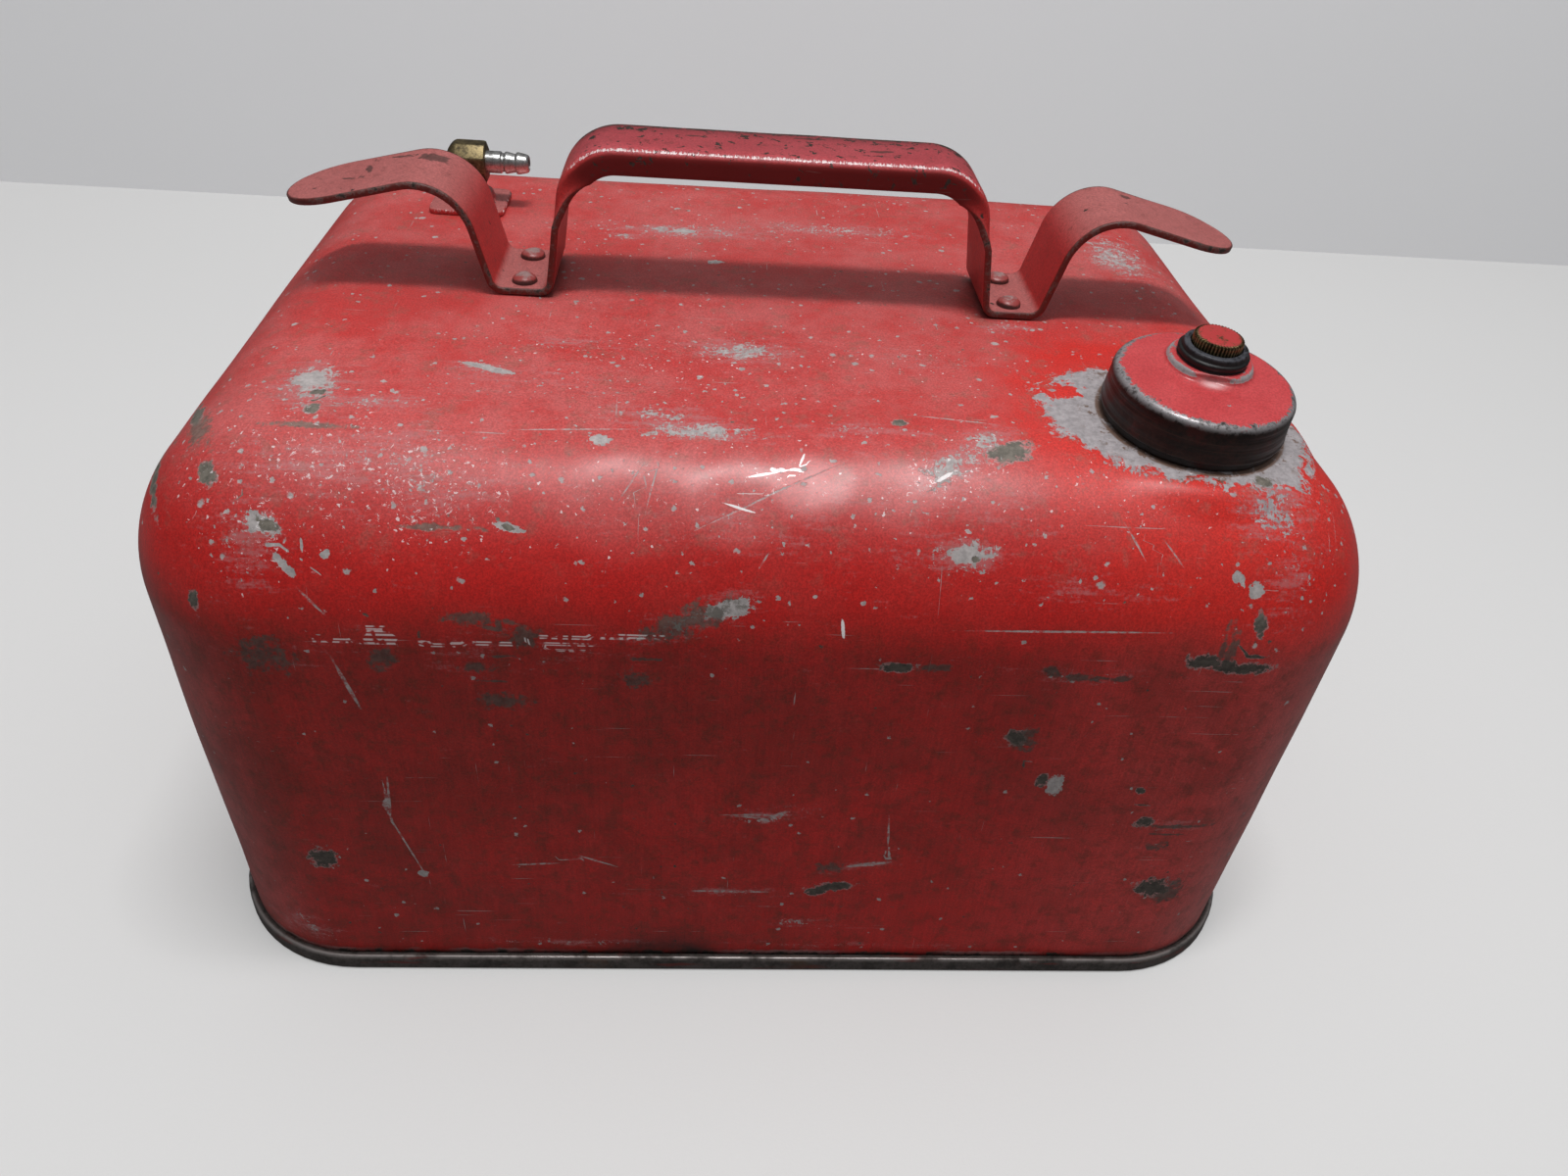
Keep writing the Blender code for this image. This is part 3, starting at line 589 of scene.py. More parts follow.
def strap_enamel():
    """The handle's older, duller coat, worn off its edges, with a painted highlight along the grip's front
    crest and painted shade on the front flange and the back of the grip's top.
    """
    g = Graph("enamel_strap")
    cloudy = g.noise(45.0, 5.0, 0.65)
    up = g.normal("Z")
    grip = g.attribute("grip")
    red = g.blend(cloudy, (0.350, 0.0120, 0.0120), (0.470, 0.0280, 0.0260))
    dust_and_sheen = g.blend(cloudy, (0.320, 0.092, 0.085), (0.440, 0.155, 0.147))
    dust_and_sheen = g.blend(grip, dust_and_sheen, g.blend(cloudy, (0.300, 0.032, 0.042), (0.400, 0.074, 0.088)))
    # Faces turned up are paler pink: dust, and a painted sheen from the lamp overhead.
    red = g.blend(g.ramp(up, 0.30, 0.95, 0.04, 0.85), red, dust_and_sheen)
    red = g.blend(g.ramp(g.noise(260.0, 4.0, 0.7), 0.52, 0.72, 0.0, 0.45), red, (0.13, 0.034, 0.028))
    red = g.shade(red, g.ramp(g.noise(1300.0, 2.0, 0.7), 0.30, 0.70, 0.76, 1.22))
    # The grip's crowned top is painted darker towards the back and lighter towards the front crest: painted
    # shade and painted highlight.
    depth = g.split(g.at)["Y"]
    rear = grip * g.ramp(depth, 0.001, 0.0125)
    near = grip * g.ramp(depth, -0.006, -0.0125, 0.0, 0.16)
    red = g.shade(red, 1.0 - rear * 0.34 + near)
    # The front flange faces away from the lamp: painted shade.
    flange_in_shade = g.blend(cloudy, (0.105, 0.0030, 0.0030), (0.150, 0.0075, 0.0070))
    red = g.blend(g.attribute("flange"), red, flange_in_shade)
    wear = g.attribute("wear")
    ragged = g.ragged(170.0, 640.0)
    brown = g.ramp(ragged * 0.5 + wear * 0.62, 0.52, 0.8, 0.0, 0.85)
    red = g.blend(brown, red, (0.060, 0.016, 0.012))
    bare = g.ramp(ragged + wear * 0.22, 0.74, 0.8)
    pits = specks(g, 190.0, g.level(grip, 0.2, 0.5), 0.22)
    pitted = g.noise(215.0, 4.0, 0.66, bend=0.4) + g.level(rear, -0.015, 0.045)
    pits = g.most(pits, g.ramp(pitted, 0.592, 0.612) * grip)
    bare = g.most(bare, pits)
    back_rim = grip * g.ramp(depth, 0.0092, 0.0125) * g.ramp(ragged, 0.38, 0.5)
    bare = g.most(bare, back_rim)
    primer = g.ramp(ragged + wear * 0.22, 0.68, 0.78)
    fine = g.noise(1.0, 4.0, 0.75, at=g.stretched((1500.0, 500.0, 500.0), (0.0, 0.0, 0.35)))
    # Near white along the grip's crest and the outlet plate's edges: rubbing, and on the crest a painted
    # highlight.
    rub_and_highlight = g.ramp(fine * 0.9 + g.attribute("rubbed_and_highlight") * 0.5, 0.82, 0.94)
    lines = scratches(g, 60.0, 1300.0, 0.70)
    primer = g.most(primer, lines * 0.5)
    edge, inside = marks_mask(g, DARK_STEEL, 2.6, 230.0)
    bare = g.most(bare, g.ramp(edge, 1.15, 0.75, 0.0, 0.7) * inside)
    tones = (0.2, 0.13, 0.12), (0.046, 0.034, 0.028)
    colour, roughness, metallic, normal = layered(g, red, primer * 0.6, bare, 0.4, rub_and_highlight * 0.8, *tones)
    return g.finish(colour, roughness, metallic, normal, specular=0.36)


def rivet_enamel():
    """Rivet heads: paint over steel, thin on the dome, with painted shade round the foot."""
    g = Graph("enamel_rivet")
    _, radius, _ = g.part()
    ragged = g.ragged(300.0, 1100.0, 4.0)
    red = g.blend(g.noise(200.0, 3.0), (0.24, 0.030, 0.028), (0.36, 0.080, 0.075))
    primer = g.ramp(ragged + g.ramp(radius, 0.0046, 0.0012, 0.0, 0.22), 0.56, 0.72)
    colour, roughness, metallic, normal = layered(g, red, primer * 0.8, 0.0, 0.36, None, (0.3, 0.22, 0.21))
    # Painted shade: a near-black ring where the head meets the strap.
    foot = g.ramp(radius + (ragged - 0.5) * 0.0012, 0.004, 0.0046, 0.0, 0.9)
    colour = g.blend(foot, colour, (0.025, 0.014, 0.012))
    return g.finish(colour, roughness, metallic, normal)


def cap_enamel():
    """The cap: red on top, a worn grey rim, a skirt handled down to dark metal, and a painted highlight on the
    boss's waist.
    """
    g = Graph("enamel_cap")
    part, radius, height = g.part()
    ragged = g.noise(210.0, 5.0, 0.7, bend=0.5) * 0.6 + g.noise(800.0, 3.0, 0.75) * 0.4
    cloudy = g.noise(60.0, 5.0, 0.65)
    red = g.blend(cloudy, (0.42, 0.030, 0.034), (0.57, 0.080, 0.085))
    red = g.shade(red, g.ramp(g.noise(1400.0, 2.0, 0.7), 0.30, 0.70, 0.82, 1.18))
    worn_side = g.ramp(g.split(part)["X"], 0.010, -0.024, 0.0, 0.06)
    rim_noise = ragged - 0.5 + worn_side
    lines = g.noise(1.0, 3.0, 0.6, at=g.stretched((14.0, 14.0, 1500.0), at=part))
    dark = g.blend(g.ramp(ragged, 0.40, 0.62), (0.0110, 0.0070, 0.0062), (0.030, 0.014, 0.011))
    dark = g.blend(g.ramp(lines, 0.56, 0.70, 0.0, 0.6), dark, (0.052, 0.020, 0.015))
    dark = g.blend(g.ramp(g.noise(90.0, 4.0, 0.7), 0.54, 0.68, 0.0, 0.6), dark, (0.070, 0.012, 0.010))
    grey = g.blend(g.ramp(ragged, 0.46, 0.66), (0.340, 0.320, 0.330), (0.060, 0.050, 0.047))
    off_rim = radius + rim_noise * 0.0125
    worn_top = g.ramp(off_rim, 0.0273, 0.028) * g.ramp(height, 0.01, 0.0135)
    down = height + (ragged - 0.5) * 0.005
    skirt = g.ramp(down, 0.0164, 0.0142) * g.ramp(radius, 0.027, 0.0282)
    colour = g.blend(worn_top, red, grey)
    colour = g.blend(skirt, colour, dark)
    boss_rim = g.ramp(ragged + g.attribute("rim") * 0.3, 0.66, 0.74)
    chips = g.most(boss_rim, specks(g, 300.0, 0.14, 0.24) * (1.0 - skirt))
    colour = g.blend(chips, colour, g.shade((0.34, 0.31, 0.315), g.ramp(ragged, 0.3, 0.7, 1.1, 0.6)))
    # Painted shade: the recessed hem at the skirt's foot is near black.
    colour = g.blend(g.ramp(height, 0.0036, 0.0031), colour, (0.006, 0.005, 0.005))
    metallic = worn_top * 0.35
    # Painted highlight: a pale pink, glossier spot on the boss wall at its waist.
    wall = g.attribute("wall")
    colour = g.blend(wall * 0.85, colour, (0.8, 0.56, 0.56))
    roughness = g.level(g.most(worn_top, skirt), 0.32, 0.38) - wall * 0.1
    roughness += (ragged - 0.5) * 0.3
    depth = g.most(worn_top, chips) * -0.5 + g.noise(900.0, 2.0, 0.5) * 0.12
    normal = g.bump(depth, 0.00016, 0.8)
    normal = g.bump(lines * skirt, 0.00012, 0.5, normal)
    return g.finish(colour, roughness, metallic, normal, specular=0.36)


def seam_steel():
    """The rolled seam and the pan: steel with the paint mostly rubbed away."""
    g = Graph("seam_steel")
    ragged = g.ragged(120.0, 700.0)
    metal = g.blend(g.ramp(ragged, 0.38, 0.62), (0.036, 0.029, 0.026), (0.100, 0.084, 0.078))
    reds = g.noise(1.0, 4.0, 0.65, at=g.stretched((26.0, 26.0, 210.0)))
    metal = g.blend(g.ramp(reds, 0.56, 0.64, 0.0, 0.75), metal, (0.16, 0.022, 0.018))
    rusty = g.ramp(g.noise(48.0, 5.0, 0.7), 0.56, 0.70, 0.0, 0.5)
    metal = g.blend(rusty, metal, RUST)
    crest = g.attribute("crest")
    bright = crest * g.ramp(g.noise(1.0, 3.0, 0.6, at=g.stretched((90.0, 90.0, 90.0))), 0.34, 0.55)
    metal = g.blend(bright, metal, (0.30, 0.27, 0.26))
    roughness = g.level(bright, g.level(ragged, 0.42, 0.62), 0.30)
    normal = g.bump(ragged, 0.0003, 0.5)
    return g.finish(metal, roughness, 0.45, normal)


def worn_steel():
    """Bare inner steel, dull and lightly rusted."""
    g = Graph("worn_steel")
    ragged = g.noise(300.0, 5.0, 0.7)
    metal = g.blend(g.ramp(ragged, 0.35, 0.65), (0.16, 0.145, 0.135), (0.30, 0.28, 0.265))
    metal = g.blend(g.ramp(g.noise(110.0, 5.0, 0.72), 0.52, 0.68, 0.0, 0.7), metal, RUST)
    normal = g.bump(ragged, 0.0002, 0.5)
    return g.finish(metal, g.level(ragged, 0.38, 0.60), 0.8, normal)


def black_rubber():
    """The collar: black with dust on it, greyer and bluish on its upper edge with wear and a painted sheen."""
    g = Graph("black_rubber")
    _, _, height = g.part()
    ragged = g.ragged(260.0, 1100.0, 4.0)
    tone = g.blend(g.ramp(ragged, 0.35, 0.7), (0.007, 0.007, 0.008), (0.020, 0.019, 0.019))
    # The upper edge in bluish grey: wear together with a painted sheen.
    wear_and_sheen = g.ramp(height, 0.024, 0.0247) * g.ramp(ragged, 0.38, 0.55)
    tone = g.blend(wear_and_sheen, tone, (0.060, 0.062, 0.074))
    normal = g.bump(ragged, 0.0002, 0.5)
    return g.finish(tone, g.level(ragged, 0.34, 0.60), 0.0, normal, specular=0.35)


def seal_rubber():
    """The washer under the vent screw."""
    g = Graph("seal_rubber")
    ragged = g.noise(900.0, 4.0, 0.7)
    tone = g.blend(ragged, (0.012, 0.012, 0.013), (0.028, 0.027, 0.026))
    return g.finish(tone, 0.6, 0.0, g.bump(ragged, 0.0001, 0.5))


def knob_brass():
    """Tarnished brass with its flutes rubbed bright and red paint left on its top."""
    g = Graph("knob_brass")
    _, radius, height = g.part()
    ragged = g.ragged(330.0, 1300.0)
    metal = g.blend(g.ramp(ragged, 0.36, 0.62), (0.040, 0.028, 0.016), (0.150, 0.108, 0.050))
    crest = g.ramp(radius, 0.00775, 0.0081)
    metal = g.blend(crest * g.ramp(ragged, 0.36, 0.56, 0.15, 0.9), metal, (0.52, 0.41, 0.22))
    painted = g.ramp(height, 0.02785, 0.028) * g.ramp(radius, 0.0074, 0.0064)
    chipped = g.ramp(ragged, 0.61, 0.55)
    painted *= chipped
    colour = g.blend(painted, metal, (0.42, 0.030, 0.030))
    metallic = (1.0 - painted) * 0.9
    return g.finish(colour, g.level(ragged, 0.34, 0.56), metallic, g.bump(ragged, 0.0002, 0.6))


def fitting_brass():
    """The outlet elbow: greenish brown brass, darker underneath with painted shade."""
    g = Graph("fitting_brass")
    ragged = g.ragged(240.0, 1000.0)
    metal = g.blend(g.ramp(ragged, 0.38, 0.64), (0.070, 0.055, 0.032), (0.270, 0.210, 0.105))
    up = g.normal("Z")
    # Painted shade on the faces turned down.
    metal = g.blend(g.ramp(up, 0.15, -0.4, 0.0, 0.7), metal, (0.022, 0.018, 0.013))
    green = g.ramp(g.noise(170.0, 4.0, 0.7), 0.58, 0.70, 0.0, 0.35)
    metal = g.blend(green, metal, (0.10, 0.13, 0.075))
    return g.finish(metal, g.level(ragged, 0.34, 0.58), 0.85, g.bump(ragged, 0.0002, 0.5))


def screen_brass():
    """Fine woven strainer gauze."""
    g = Graph("screen_brass")
    place = g.split(g.at)
    wires = 9000.0
    up = g.math("SINE", place["Z"] * wires)
    side = g.math("SINE", (place["X"] + place["Y"]) * wires)
    weave = (up * side + 1.0) * 0.5
    metal = g.blend(weave, (0.10, 0.075, 0.035), (0.50, 0.40, 0.20))
    return g.finish(metal, 0.4, 0.9, g.bump(weave, 0.0002, 0.8))


def bright_plate():
    """The nipple, clip and tube: plating that has gone slightly cloudy."""
    g = Graph("bright_plate")
    ragged = g.ragged(420.0, 1500.0, 4.0, 0.5)
    metal = g.blend(g.ramp(ragged, 0.35, 0.62), (0.36, 0.35, 0.34), (0.72, 0.72, 0.71))
    metal = g.blend(g.ramp(g.noise(300.0, 4.0, 0.7), 0.60, 0.72, 0.0, 0.6), metal, (0.14, 0.10, 0.07))
    return g.finish(metal, g.level(ragged, 0.22, 0.42), 0.95, g.bump(ragged, 0.00012, 0.5))


def cork():
    """Pressed cork grains, darkened by fuel."""
    g = Graph("gasket_cork")
    cells = g.cells(900.0)
    tone = g.blend(g.ramp(cells["Distance"], 0.2, 0.7), (0.24, 0.14, 0.075), (0.09, 0.05, 0.03))
    tone = g.blend(g.ramp(g.noise(260.0, 4.0, 0.7), 0.5, 0.68, 0.0, 0.7), tone, (0.05, 0.032, 0.022))
    return g.finish(tone, 0.85, 0.0, g.bump(cells["Distance"], 0.0003, 0.7))


# ---------------------------------------------------------------- the drawn shell

# Shallow round dents: x, y, z, radius and depth in millimetres.
DENTS = (
    (-46, -134, 206, 20, 1.2), (-12, -133, 208, 15, 1.05), (10, -126, 213, 13, 0.75),
    (36, -128, 212, 17, 0.6), (-118, -128, 213, 30, 0.5), (96, -118, 217, 34, 0.45),
    (-60, -152, 120, 80, 0.6), (90, -152, 100, 90, 0.5), (120, 60, 220, 60, 0.4),
    (-20, -60, 220, 80, 0.35),
)

# Scratchy patches where primer shows: x, y, z of the middle, half sizes along and across,
# turn in degrees and weight.
SCUFFS = (
    (-146, -92, 220, 12, 16, 0, 1.15), (-126, -100, 220, 24, 6, 0, 0.85),
    (-126, -122, 215, 44, 18, 0, 0.62), (-100, -131, 210, 20, 9, 0, 0.7), (-97, -75, 220, 16, 5, -18, 0.9),
    (-12, -54, 220, 19, 9, 0, 1.1), (-70, -54, 220, 20, 6, 0, 0.75), (-25, -108, 219, 22, 5, 0, 1.25),
    (-38, -101, 220, 22, 8, 0, 0.9), (30, -105, 219, 22, 5, 0, 0.85), (52, -120, 216, 14, 6, 32, 1.25),
    (66, -108, 219, 12, 7, 32, 1), (57, -141, 199, 13, 5, 0, 1.15), (-8, -133, 208, 60, 16, 0, 0.45),
    (40, -133, 208, 50, 22, 0, 0.45), (152, 50, 220, 15, 26, 0, 1.15), (-34, 54, 220, 40, 9, 0, 0.95),
    (29, 63, 220, 48, 8, 0, 0.85), (-58, 45, 220, 12, 5, 0, 0.9), (-24, -151, 178, 22, 6, 24, 0.75),
    (155, -128, 212, 14, 12, 35, 1), (160, -143, 196, 12, 16, 0, 0.7), (-155, -142, 196, 12, 20, 0, 0.66),
    (88, -25, 220, 14, 8, 0, 0.85), (50, -55, 220, 30, 8, 0, 0.6), (-75, -80, 220, 60, 14, 0, 0.5),
    (99, -147, 190, 28, 5, 0, 0.55), (100, -152, 161, 34, 4, 0, 0.62), (-90, -152, 164, 70, 8, 0, 0.4),
    (4, -152, 90, 18, 4, 10, 0.85), (-8, -152, 47, 24, 3, 0, 0.75), (148, -152, 88, 22, 5, 0, 0.55),
    (36, -152, 62, 16, 3, 8, 0.7), (17, -152, 28, 16, 3, 0, 0.75), (-63, -152, 13, 34, 2.5, 0, 0.85),
    (40, -152, 12, 60, 2.5, 0, 0.6), (-170, -150, 20, 16, 10, 0, 0.75),
)

# Where painted glints gather: small near-white specks standing for highlights, mostly along the front shoulder,
# as the patches above.
SPARKLES = (
    (-103, -131, 210, 26, 14, 0, 1), (-133, -126, 212, 38, 22, 0, 0.8), (-150, -140, 201, 22, 14, 0, 0.7),
    (-40, -130, 211, 40, 14, 0, 0.45), (52, -122, 215, 22, 9, 20, 0.9), (-5, -125, 214, 30, 12, 0, 0.5),
    (110, -125, 213, 60, 14, 0, 0.4), (-20, -60, 220, 90, 26, 0, 0.35),
)

# What a placed mark is.
SHOWS_PRIMER, GREY_SMEAR, DARK_STEEL, SCRAPE_AND_GLINT, KEEPS_RED, BROKEN_DASHES, FINE_SCRATCH = range(7)

# Placed marks by kind: x, y, z, half length, half width and turn in degrees.
CHIPS = {
    SHOWS_PRIMER: (
        (-94, -75, 220, 10, 1.7, -20), (-55, -114, 218, 3.6, 2, 0), (-147, -88, 220, 5, 5, 60),
        (-150, -140, 201, 5.4, 2.8, -20), (-144, -146, 191, 4.6, 1.3, -50),
        (-80, -139, 202, 4.4, 1.3, -10), (-132, -144, 194, 1.3, 1.3, 0), (-14, -149, 182, 7, 3, 16),
        (-120, -152, 56, 2.2, 1.7, 0), (102, -152, 109, 3, 5, 0), (149, -146, 192, 2.2, 3, 0),
        (142, -144, 196, 1.4, 1.6, 0), (57, -141, 199, 5, 2.2, 0), (-34, 54, 220, 5, 2.2, 0),
        (-21, 22, 220, 3, 2, 0),
    ),
    GREY_SMEAR: (
        (-141, -113, 218, 10, 1, 0), (-176, -108, 212, 3.4, 9, 30), (-102, -139, 201, 10, 0.8, 0),
        (-26, -151, 178, 13, 3.6, 26), (-154, -152, 161, 6.5, 5.5, 0), (-119, -152, 162, 4, 3.6, 0),
        (-92, -151, 177, 6, 1.8, 0), (-90, -152, 158, 5, 1.6, 0), (-76, -152, 171, 4, 2.6, 0),
        (-83, -152, 144, 6, 2.6, 0), (-42, -152, 154, 3.6, 3.4, 0), (28, -152, 62, 3.6, 2.2, 0),
        (161, -152, 50, 5, 6, 0), (86, -152, 131, 4.6, 4.2, -30), (152, -152, 88, 11, 0.9, 0),
        (148, -152, 76, 3, 2.2, 0), (142, -151, 174, 0.8, 7, 0), (146, -151, 173, 0.8, 6, 0),
        (50, -152, 163, 5, 1.2, 0), (98, -152, 160, 4, 1.3, 0), (89, -152, 163, 2, 1.3, 0),
        (112, -152, 160, 3, 1.1, 0),
    ),
    DARK_STEEL: (
        (-143, -96, 220, 2.6, 1.7, 20), (-142, -105, 220, 2.4, 2.4, -20), (72, -113, 218, 7.4, 3.9, 26),
        (-168, -127, 209, 2.6, 4.4, 25), (-183, -95, 211, 2.6, 9, 30), (-190, -112, 199, 2.4, 15, 12),
        (-172, -147, 178, 1.6, 3, 0), (-149, -140, 201, 3, 1.7, -20), (-80, -139, 202, 2.2, 0.9, -10),
        (-154, -152, 64, 4.4, 5, 0), (24, -152, 48, 4, 2.6, 0), (31, -152, 51, 7, 2.2, 4),
        (153, -152, 52, 6.6, 5, 0), (84, -152, 132, 3.6, 3.4, -30), (97, -152, 111, 2.6, 2.8, 0),
        (139, -152, 90, 3, 2.6, 0), (133, -152, 107, 1.8, 1.6, 0), (137, -152, 168, 5.6, 2.6, 0),
        (152, -152, 166, 8, 2.2, 0), (152, -150, 182, 1.8, 4.6, 6), (40, -152, 163, 5.4, 1.8, 0),
        (60, -142, 198, 1.4, 1.2, 0), (39, -100, 220, 2.6, 1.8, 0), (152, -121, 215, 3, 2.4, 40),
    ),
    SCRAPE_AND_GLINT: (
        (-5, -124, 214, 5.5, 0.45, 12), (3, -122, 215, 4.5, 0.45, -8), (7, -119, 217, 2.6, 0.4, 70),
        (-12, -133, 208, 5.2, 0.45, -16), (51, -123, 215, 3.2, 0.7, 34), (21, -151, 177, 0.6, 3.8, 8),
    ),
    KEEPS_RED: (
        (97, -74, 220, 6.5, 6, 0), (90, -66, 220, 4, 5, 20), (158, -124, 213, 5, 3, 40),
        (148, -130, 211, 4, 2.2, 20),
    ),
    BROKEN_DASHES: (
        (-133, -152, 168, 5.2, 0.9, 0), (-118, -152, 168, 5.2, 1.2, 0), (-119, -152, 173, 3, 0.8, 0),
        (-100, -152, 167, 3.6, 0.8, 0), (-84, -152, 168, 7, 0.9, 0), (-62, -152, 171, 9, 0.8, 0),
        (-42, -152, 172, 9, 0.9, 0), (-64, -152, 166, 8, 0.5, 0),
    ),
    FINE_SCRATCH: (
        (-137, -150, 181, 6, 0.5, -50), (-131, -152, 150, 0.7, 11, 14), (42, -152, 64, 9, 1.2, 10),
        (91, -151, 178, 34, 0.4, 1), (47, -152, 83, 0.45, 9, 6), (-126, -152, 98, 0.5, 11, -5),
        (-124, -152, 74, 0.4, 20, 14), (-79, -152, 62, 9, 0.5, 4), (-57, -152, 64, 8, 0.5, -24),
        (0, -152, 91, 13, 0.6, 2), (6, -152, 90, 6, 1.3, 36), (-9, -152, 47, 16, 0.7, 0),
        (-4, -143, 196, 3, 0.35, 60), (-4, -130, 210, 26, 0.35, 28), (-38, -128, 212, 0.35, 9, -12),
        (-44, -127, 213, 0.35, 8, -30), (58, -97, 220, 16, 0.35, -8), (-62, -110, 219, 20, 0.35, 4),
        (110, -138, 203, 0.35, 7, 30), (122, -140, 201, 0.35, 6, 38),
    ),
}

# How far bare primer reaches out from the filler cap: degrees round the filler, and millimetres.
PRIMER_REACH = (
    (-180, 17.0), (-160, 17.0), (-140, 10.0), (-120, 6.0), (-100, 4.0), (-85, 4.5), (-70, 8.0), (-58, 12.0),
    (-45, 11.0), (-30, 11.0), (-12, 8.0), (10, 4.0), (60, 2.0), (110, 3.0), (135, 9.0),
    (150, 19.0), (165, 21.0), (180, 17.0),
)


def axis_nodes(half, step, through):
    """Grid lines from -half to half, one of them exactly through a given place."""
    low = np.linspace(-half, through, round((through + half) / step) + 1)
    high = np.linspace(through, half, round((half - through) / step) + 1)
    return np.concatenate([low, high[1:]])


def round_over(points):
    """Box points drawn on to the rounded shell, and the outward direction at each."""
    points = np.asarray(points, float)
    core = points.copy()
    core[:, 0] = np.clip(core[:, 0], -(HALF_X - SHOULDER_RUN), HALF_X - SHOULDER_RUN)
    core[:, 1] = np.clip(core[:, 1], -(HALF_Y - SHOULDER_RUN), HALF_Y - SHOULDER_RUN)
    core[:, 2] = np.minimum(core[:, 2], TOP_Z - SHOULDER_DROP)
    radii = np.array([SHOULDER_RUN, SHOULDER_RUN, SHOULDER_DROP])
    reach = (points - core) / radii
    reach /= np.linalg.norm(reach, axis=1)[:, None]
    outward = reach / radii
    outward /= np.linalg.norm(outward, axis=1)[:, None]
    return core + reach * radii, outward


def shell_height(x, y):
    """The height of the shell's top and shoulder over a place in plan."""
    over_x = np.maximum(np.abs(x) - (HALF_X - SHOULDER_RUN), 0.0) / SHOULDER_RUN
    over_y = np.maximum(np.abs(y) - (HALF_Y - SHOULDER_RUN), 0.0) / SHOULDER_RUN
    rest = np.clip(1.0 - over_x**2 - over_y**2, 0.0, 1.0)
    return TOP_Z - SHOULDER_DROP * (1.0 - np.sqrt(rest))


def round_the_mouth(points, xs, ys):
    """Turns the grid round the filler into rings, so that the mouth is a true circle."""
    i0 = int(np.argmin(np.abs(xs - FILLER_AT.x)))
    j0 = int(np.argmin(np.abs(ys - FILLER_AT.y)))
    width = len(ys)
    for i in range(i0 - BLOCK_RINGS, i0 + BLOCK_RINGS + 1):
        for j in range(j0 - BLOCK_RINGS, j0 + BLOCK_RINGS + 1):
            di, dj = i - i0, j - j0
            rings = max(abs(di), abs(dj))
            index = i * width + j
            if rings == 0:
                continue
            radius = rings * GRID
            reach = math.hypot(di, dj)
            x = FILLER_AT.x + di / reach * radius
            y = FILLER_AT.y + dj / reach * radius
            share = float(smoothstep(0.0, 1.0, (BLOCK_RINGS - rings) / (BLOCK_RINGS - ROUND_RINGS)))
            x = points[index, 0] * (1 - share) + x * share
            y = points[index, 1] * (1 - share) + y * share
            points[index] = (x, y, float(shell_height(np.array(x), np.array(y))))
    return i0, j0


def shell_surface():
    """The shell's outer skin: points and faces, open at the foot and at the mouth."""
    xs = axis_nodes(HALF_X, GRID, FILLER_AT.x)
    ys = axis_nodes(HALF_Y, GRID, FILLER_AT.y)
    levels = np.linspace(FOOT_Z, TOP_Z, round((TOP_Z - FOOT_Z) / GRID) + 1)
    box = np.array([(x, y, TOP_Z) for x in xs for y in ys])
    points, _ = round_over(box)
    i0, j0 = round_the_mouth(points, xs, ys)
    faces = []
    for i in range(len(xs) - 1):
        for j in range(len(ys) - 1):
            if max(abs(i + 0.5 - i0), abs(j + 0.5 - j0)) < MOUTH_RING:
                continue
            a = i * len(ys) + j
            faces.append((a, a + len(ys), a + len(ys) + 1, a + 1))
    nx, ny = len(xs), len(ys)
    border = [i * ny for i in range(nx)]
    border += [(nx - 1) * ny + j for j in range(1, ny)]
    border += [i * ny + ny - 1 for i in range(nx - 2, -1, -1)]
    border += [j for j in range(ny - 2, 0, -1)]
    upper = border
    chunks = [points]
    total = len(points)
    for z in levels[-2::-1]:
        ring = box[border].copy()
        ring[:, 2] = z
        placed, _ = round_over(ring)
        chunks.append(placed)
        lower = list(range(total, total + len(border)))
        total += len(border)
        for k in range(len(border)):
            after = (k + 1) % len(border)
            faces.append((upper[k], lower[k], lower[after], upper[after]))
        upper = lower
    return np.concatenate(chunks), faces


def used_only(points, faces):
    """Drops the points that no face uses."""
    used = sorted({index for face in faces for index in face})
    renumber = {old: new for new, old in enumerate(used)}
    return points[used], [tuple(renumber[index] for index in face) for face in faces]


def shape_shell(points):
    """Seats the filler, flares the walls, and adds the dents and waves of a used tank."""
    _, outward = round_over(points)
    wall = smoothstep(0.0, FLARE_FULL_Z, points[:, 2]) * (1 - smoothstep(FLARE_ENDS_Z, TOP_Z, points[:, 2]))
    side = outward.copy()
    side[:, 2] = 0.0
    points = points + side * (FLARE * wall)[:, None]
    press = np.zeros(len(points))
    for x, y, z, radius, depth in DENTS:
        far = np.linalg.norm(points - np.array((x, y, z)) / 1000, axis=1) * 1000 / radius
        press += depth / 1000 * np.clip(1 - far * far, 0, 1) ** 1.7
    held = smoothstep(0.012, 0.05, points[:, 2])
    waves = np.array([sum(lift(p, scale, seed) * high for scale, seed, high in WAVES) for p in points])
    points = points + outward * ((waves - press) * held)[:, None]
    to_filler = np.array(FILLER.inverted())
    local = points @ to_filler[:3, :3].T + to_filler[:3, 3]
    radius = np.hypot(local[:, 0], local[:, 1])
    share = (1 - smoothstep(SEAT_INNER, SEAT_OUTER, radius)) * (np.abs(local[:, 2]) < 0.03)
    local[:, 2] *= 1 - share
    back = np.array(FILLER)
    return local @ back[:3, :3].T + back[:3, 3], radius


def patch_weights(points, patches):
    """How strongly any of the patches covers each point."""
    total = np.zeros(len(points))
    for x, y, z, along, across, turn, weight in patches:
        away = points * 1000 - np.array((x, y, z))
        angle = math.radians(turn)
        front = abs(y) > 135
        other = away[:, 2] if front else away[:, 1]
        u = (away[:, 0] * math.cos(angle) + other * math.sin(angle)) / along
        v = (-away[:, 0] * math.sin(angle) + other * math.cos(angle)) / across
        depth = (away[:, 1] if front else away[:, 2]) / 30
        total = np.maximum(total, weight * np.exp(-(u * u + v * v) * 0.8 - depth * depth))
    return total


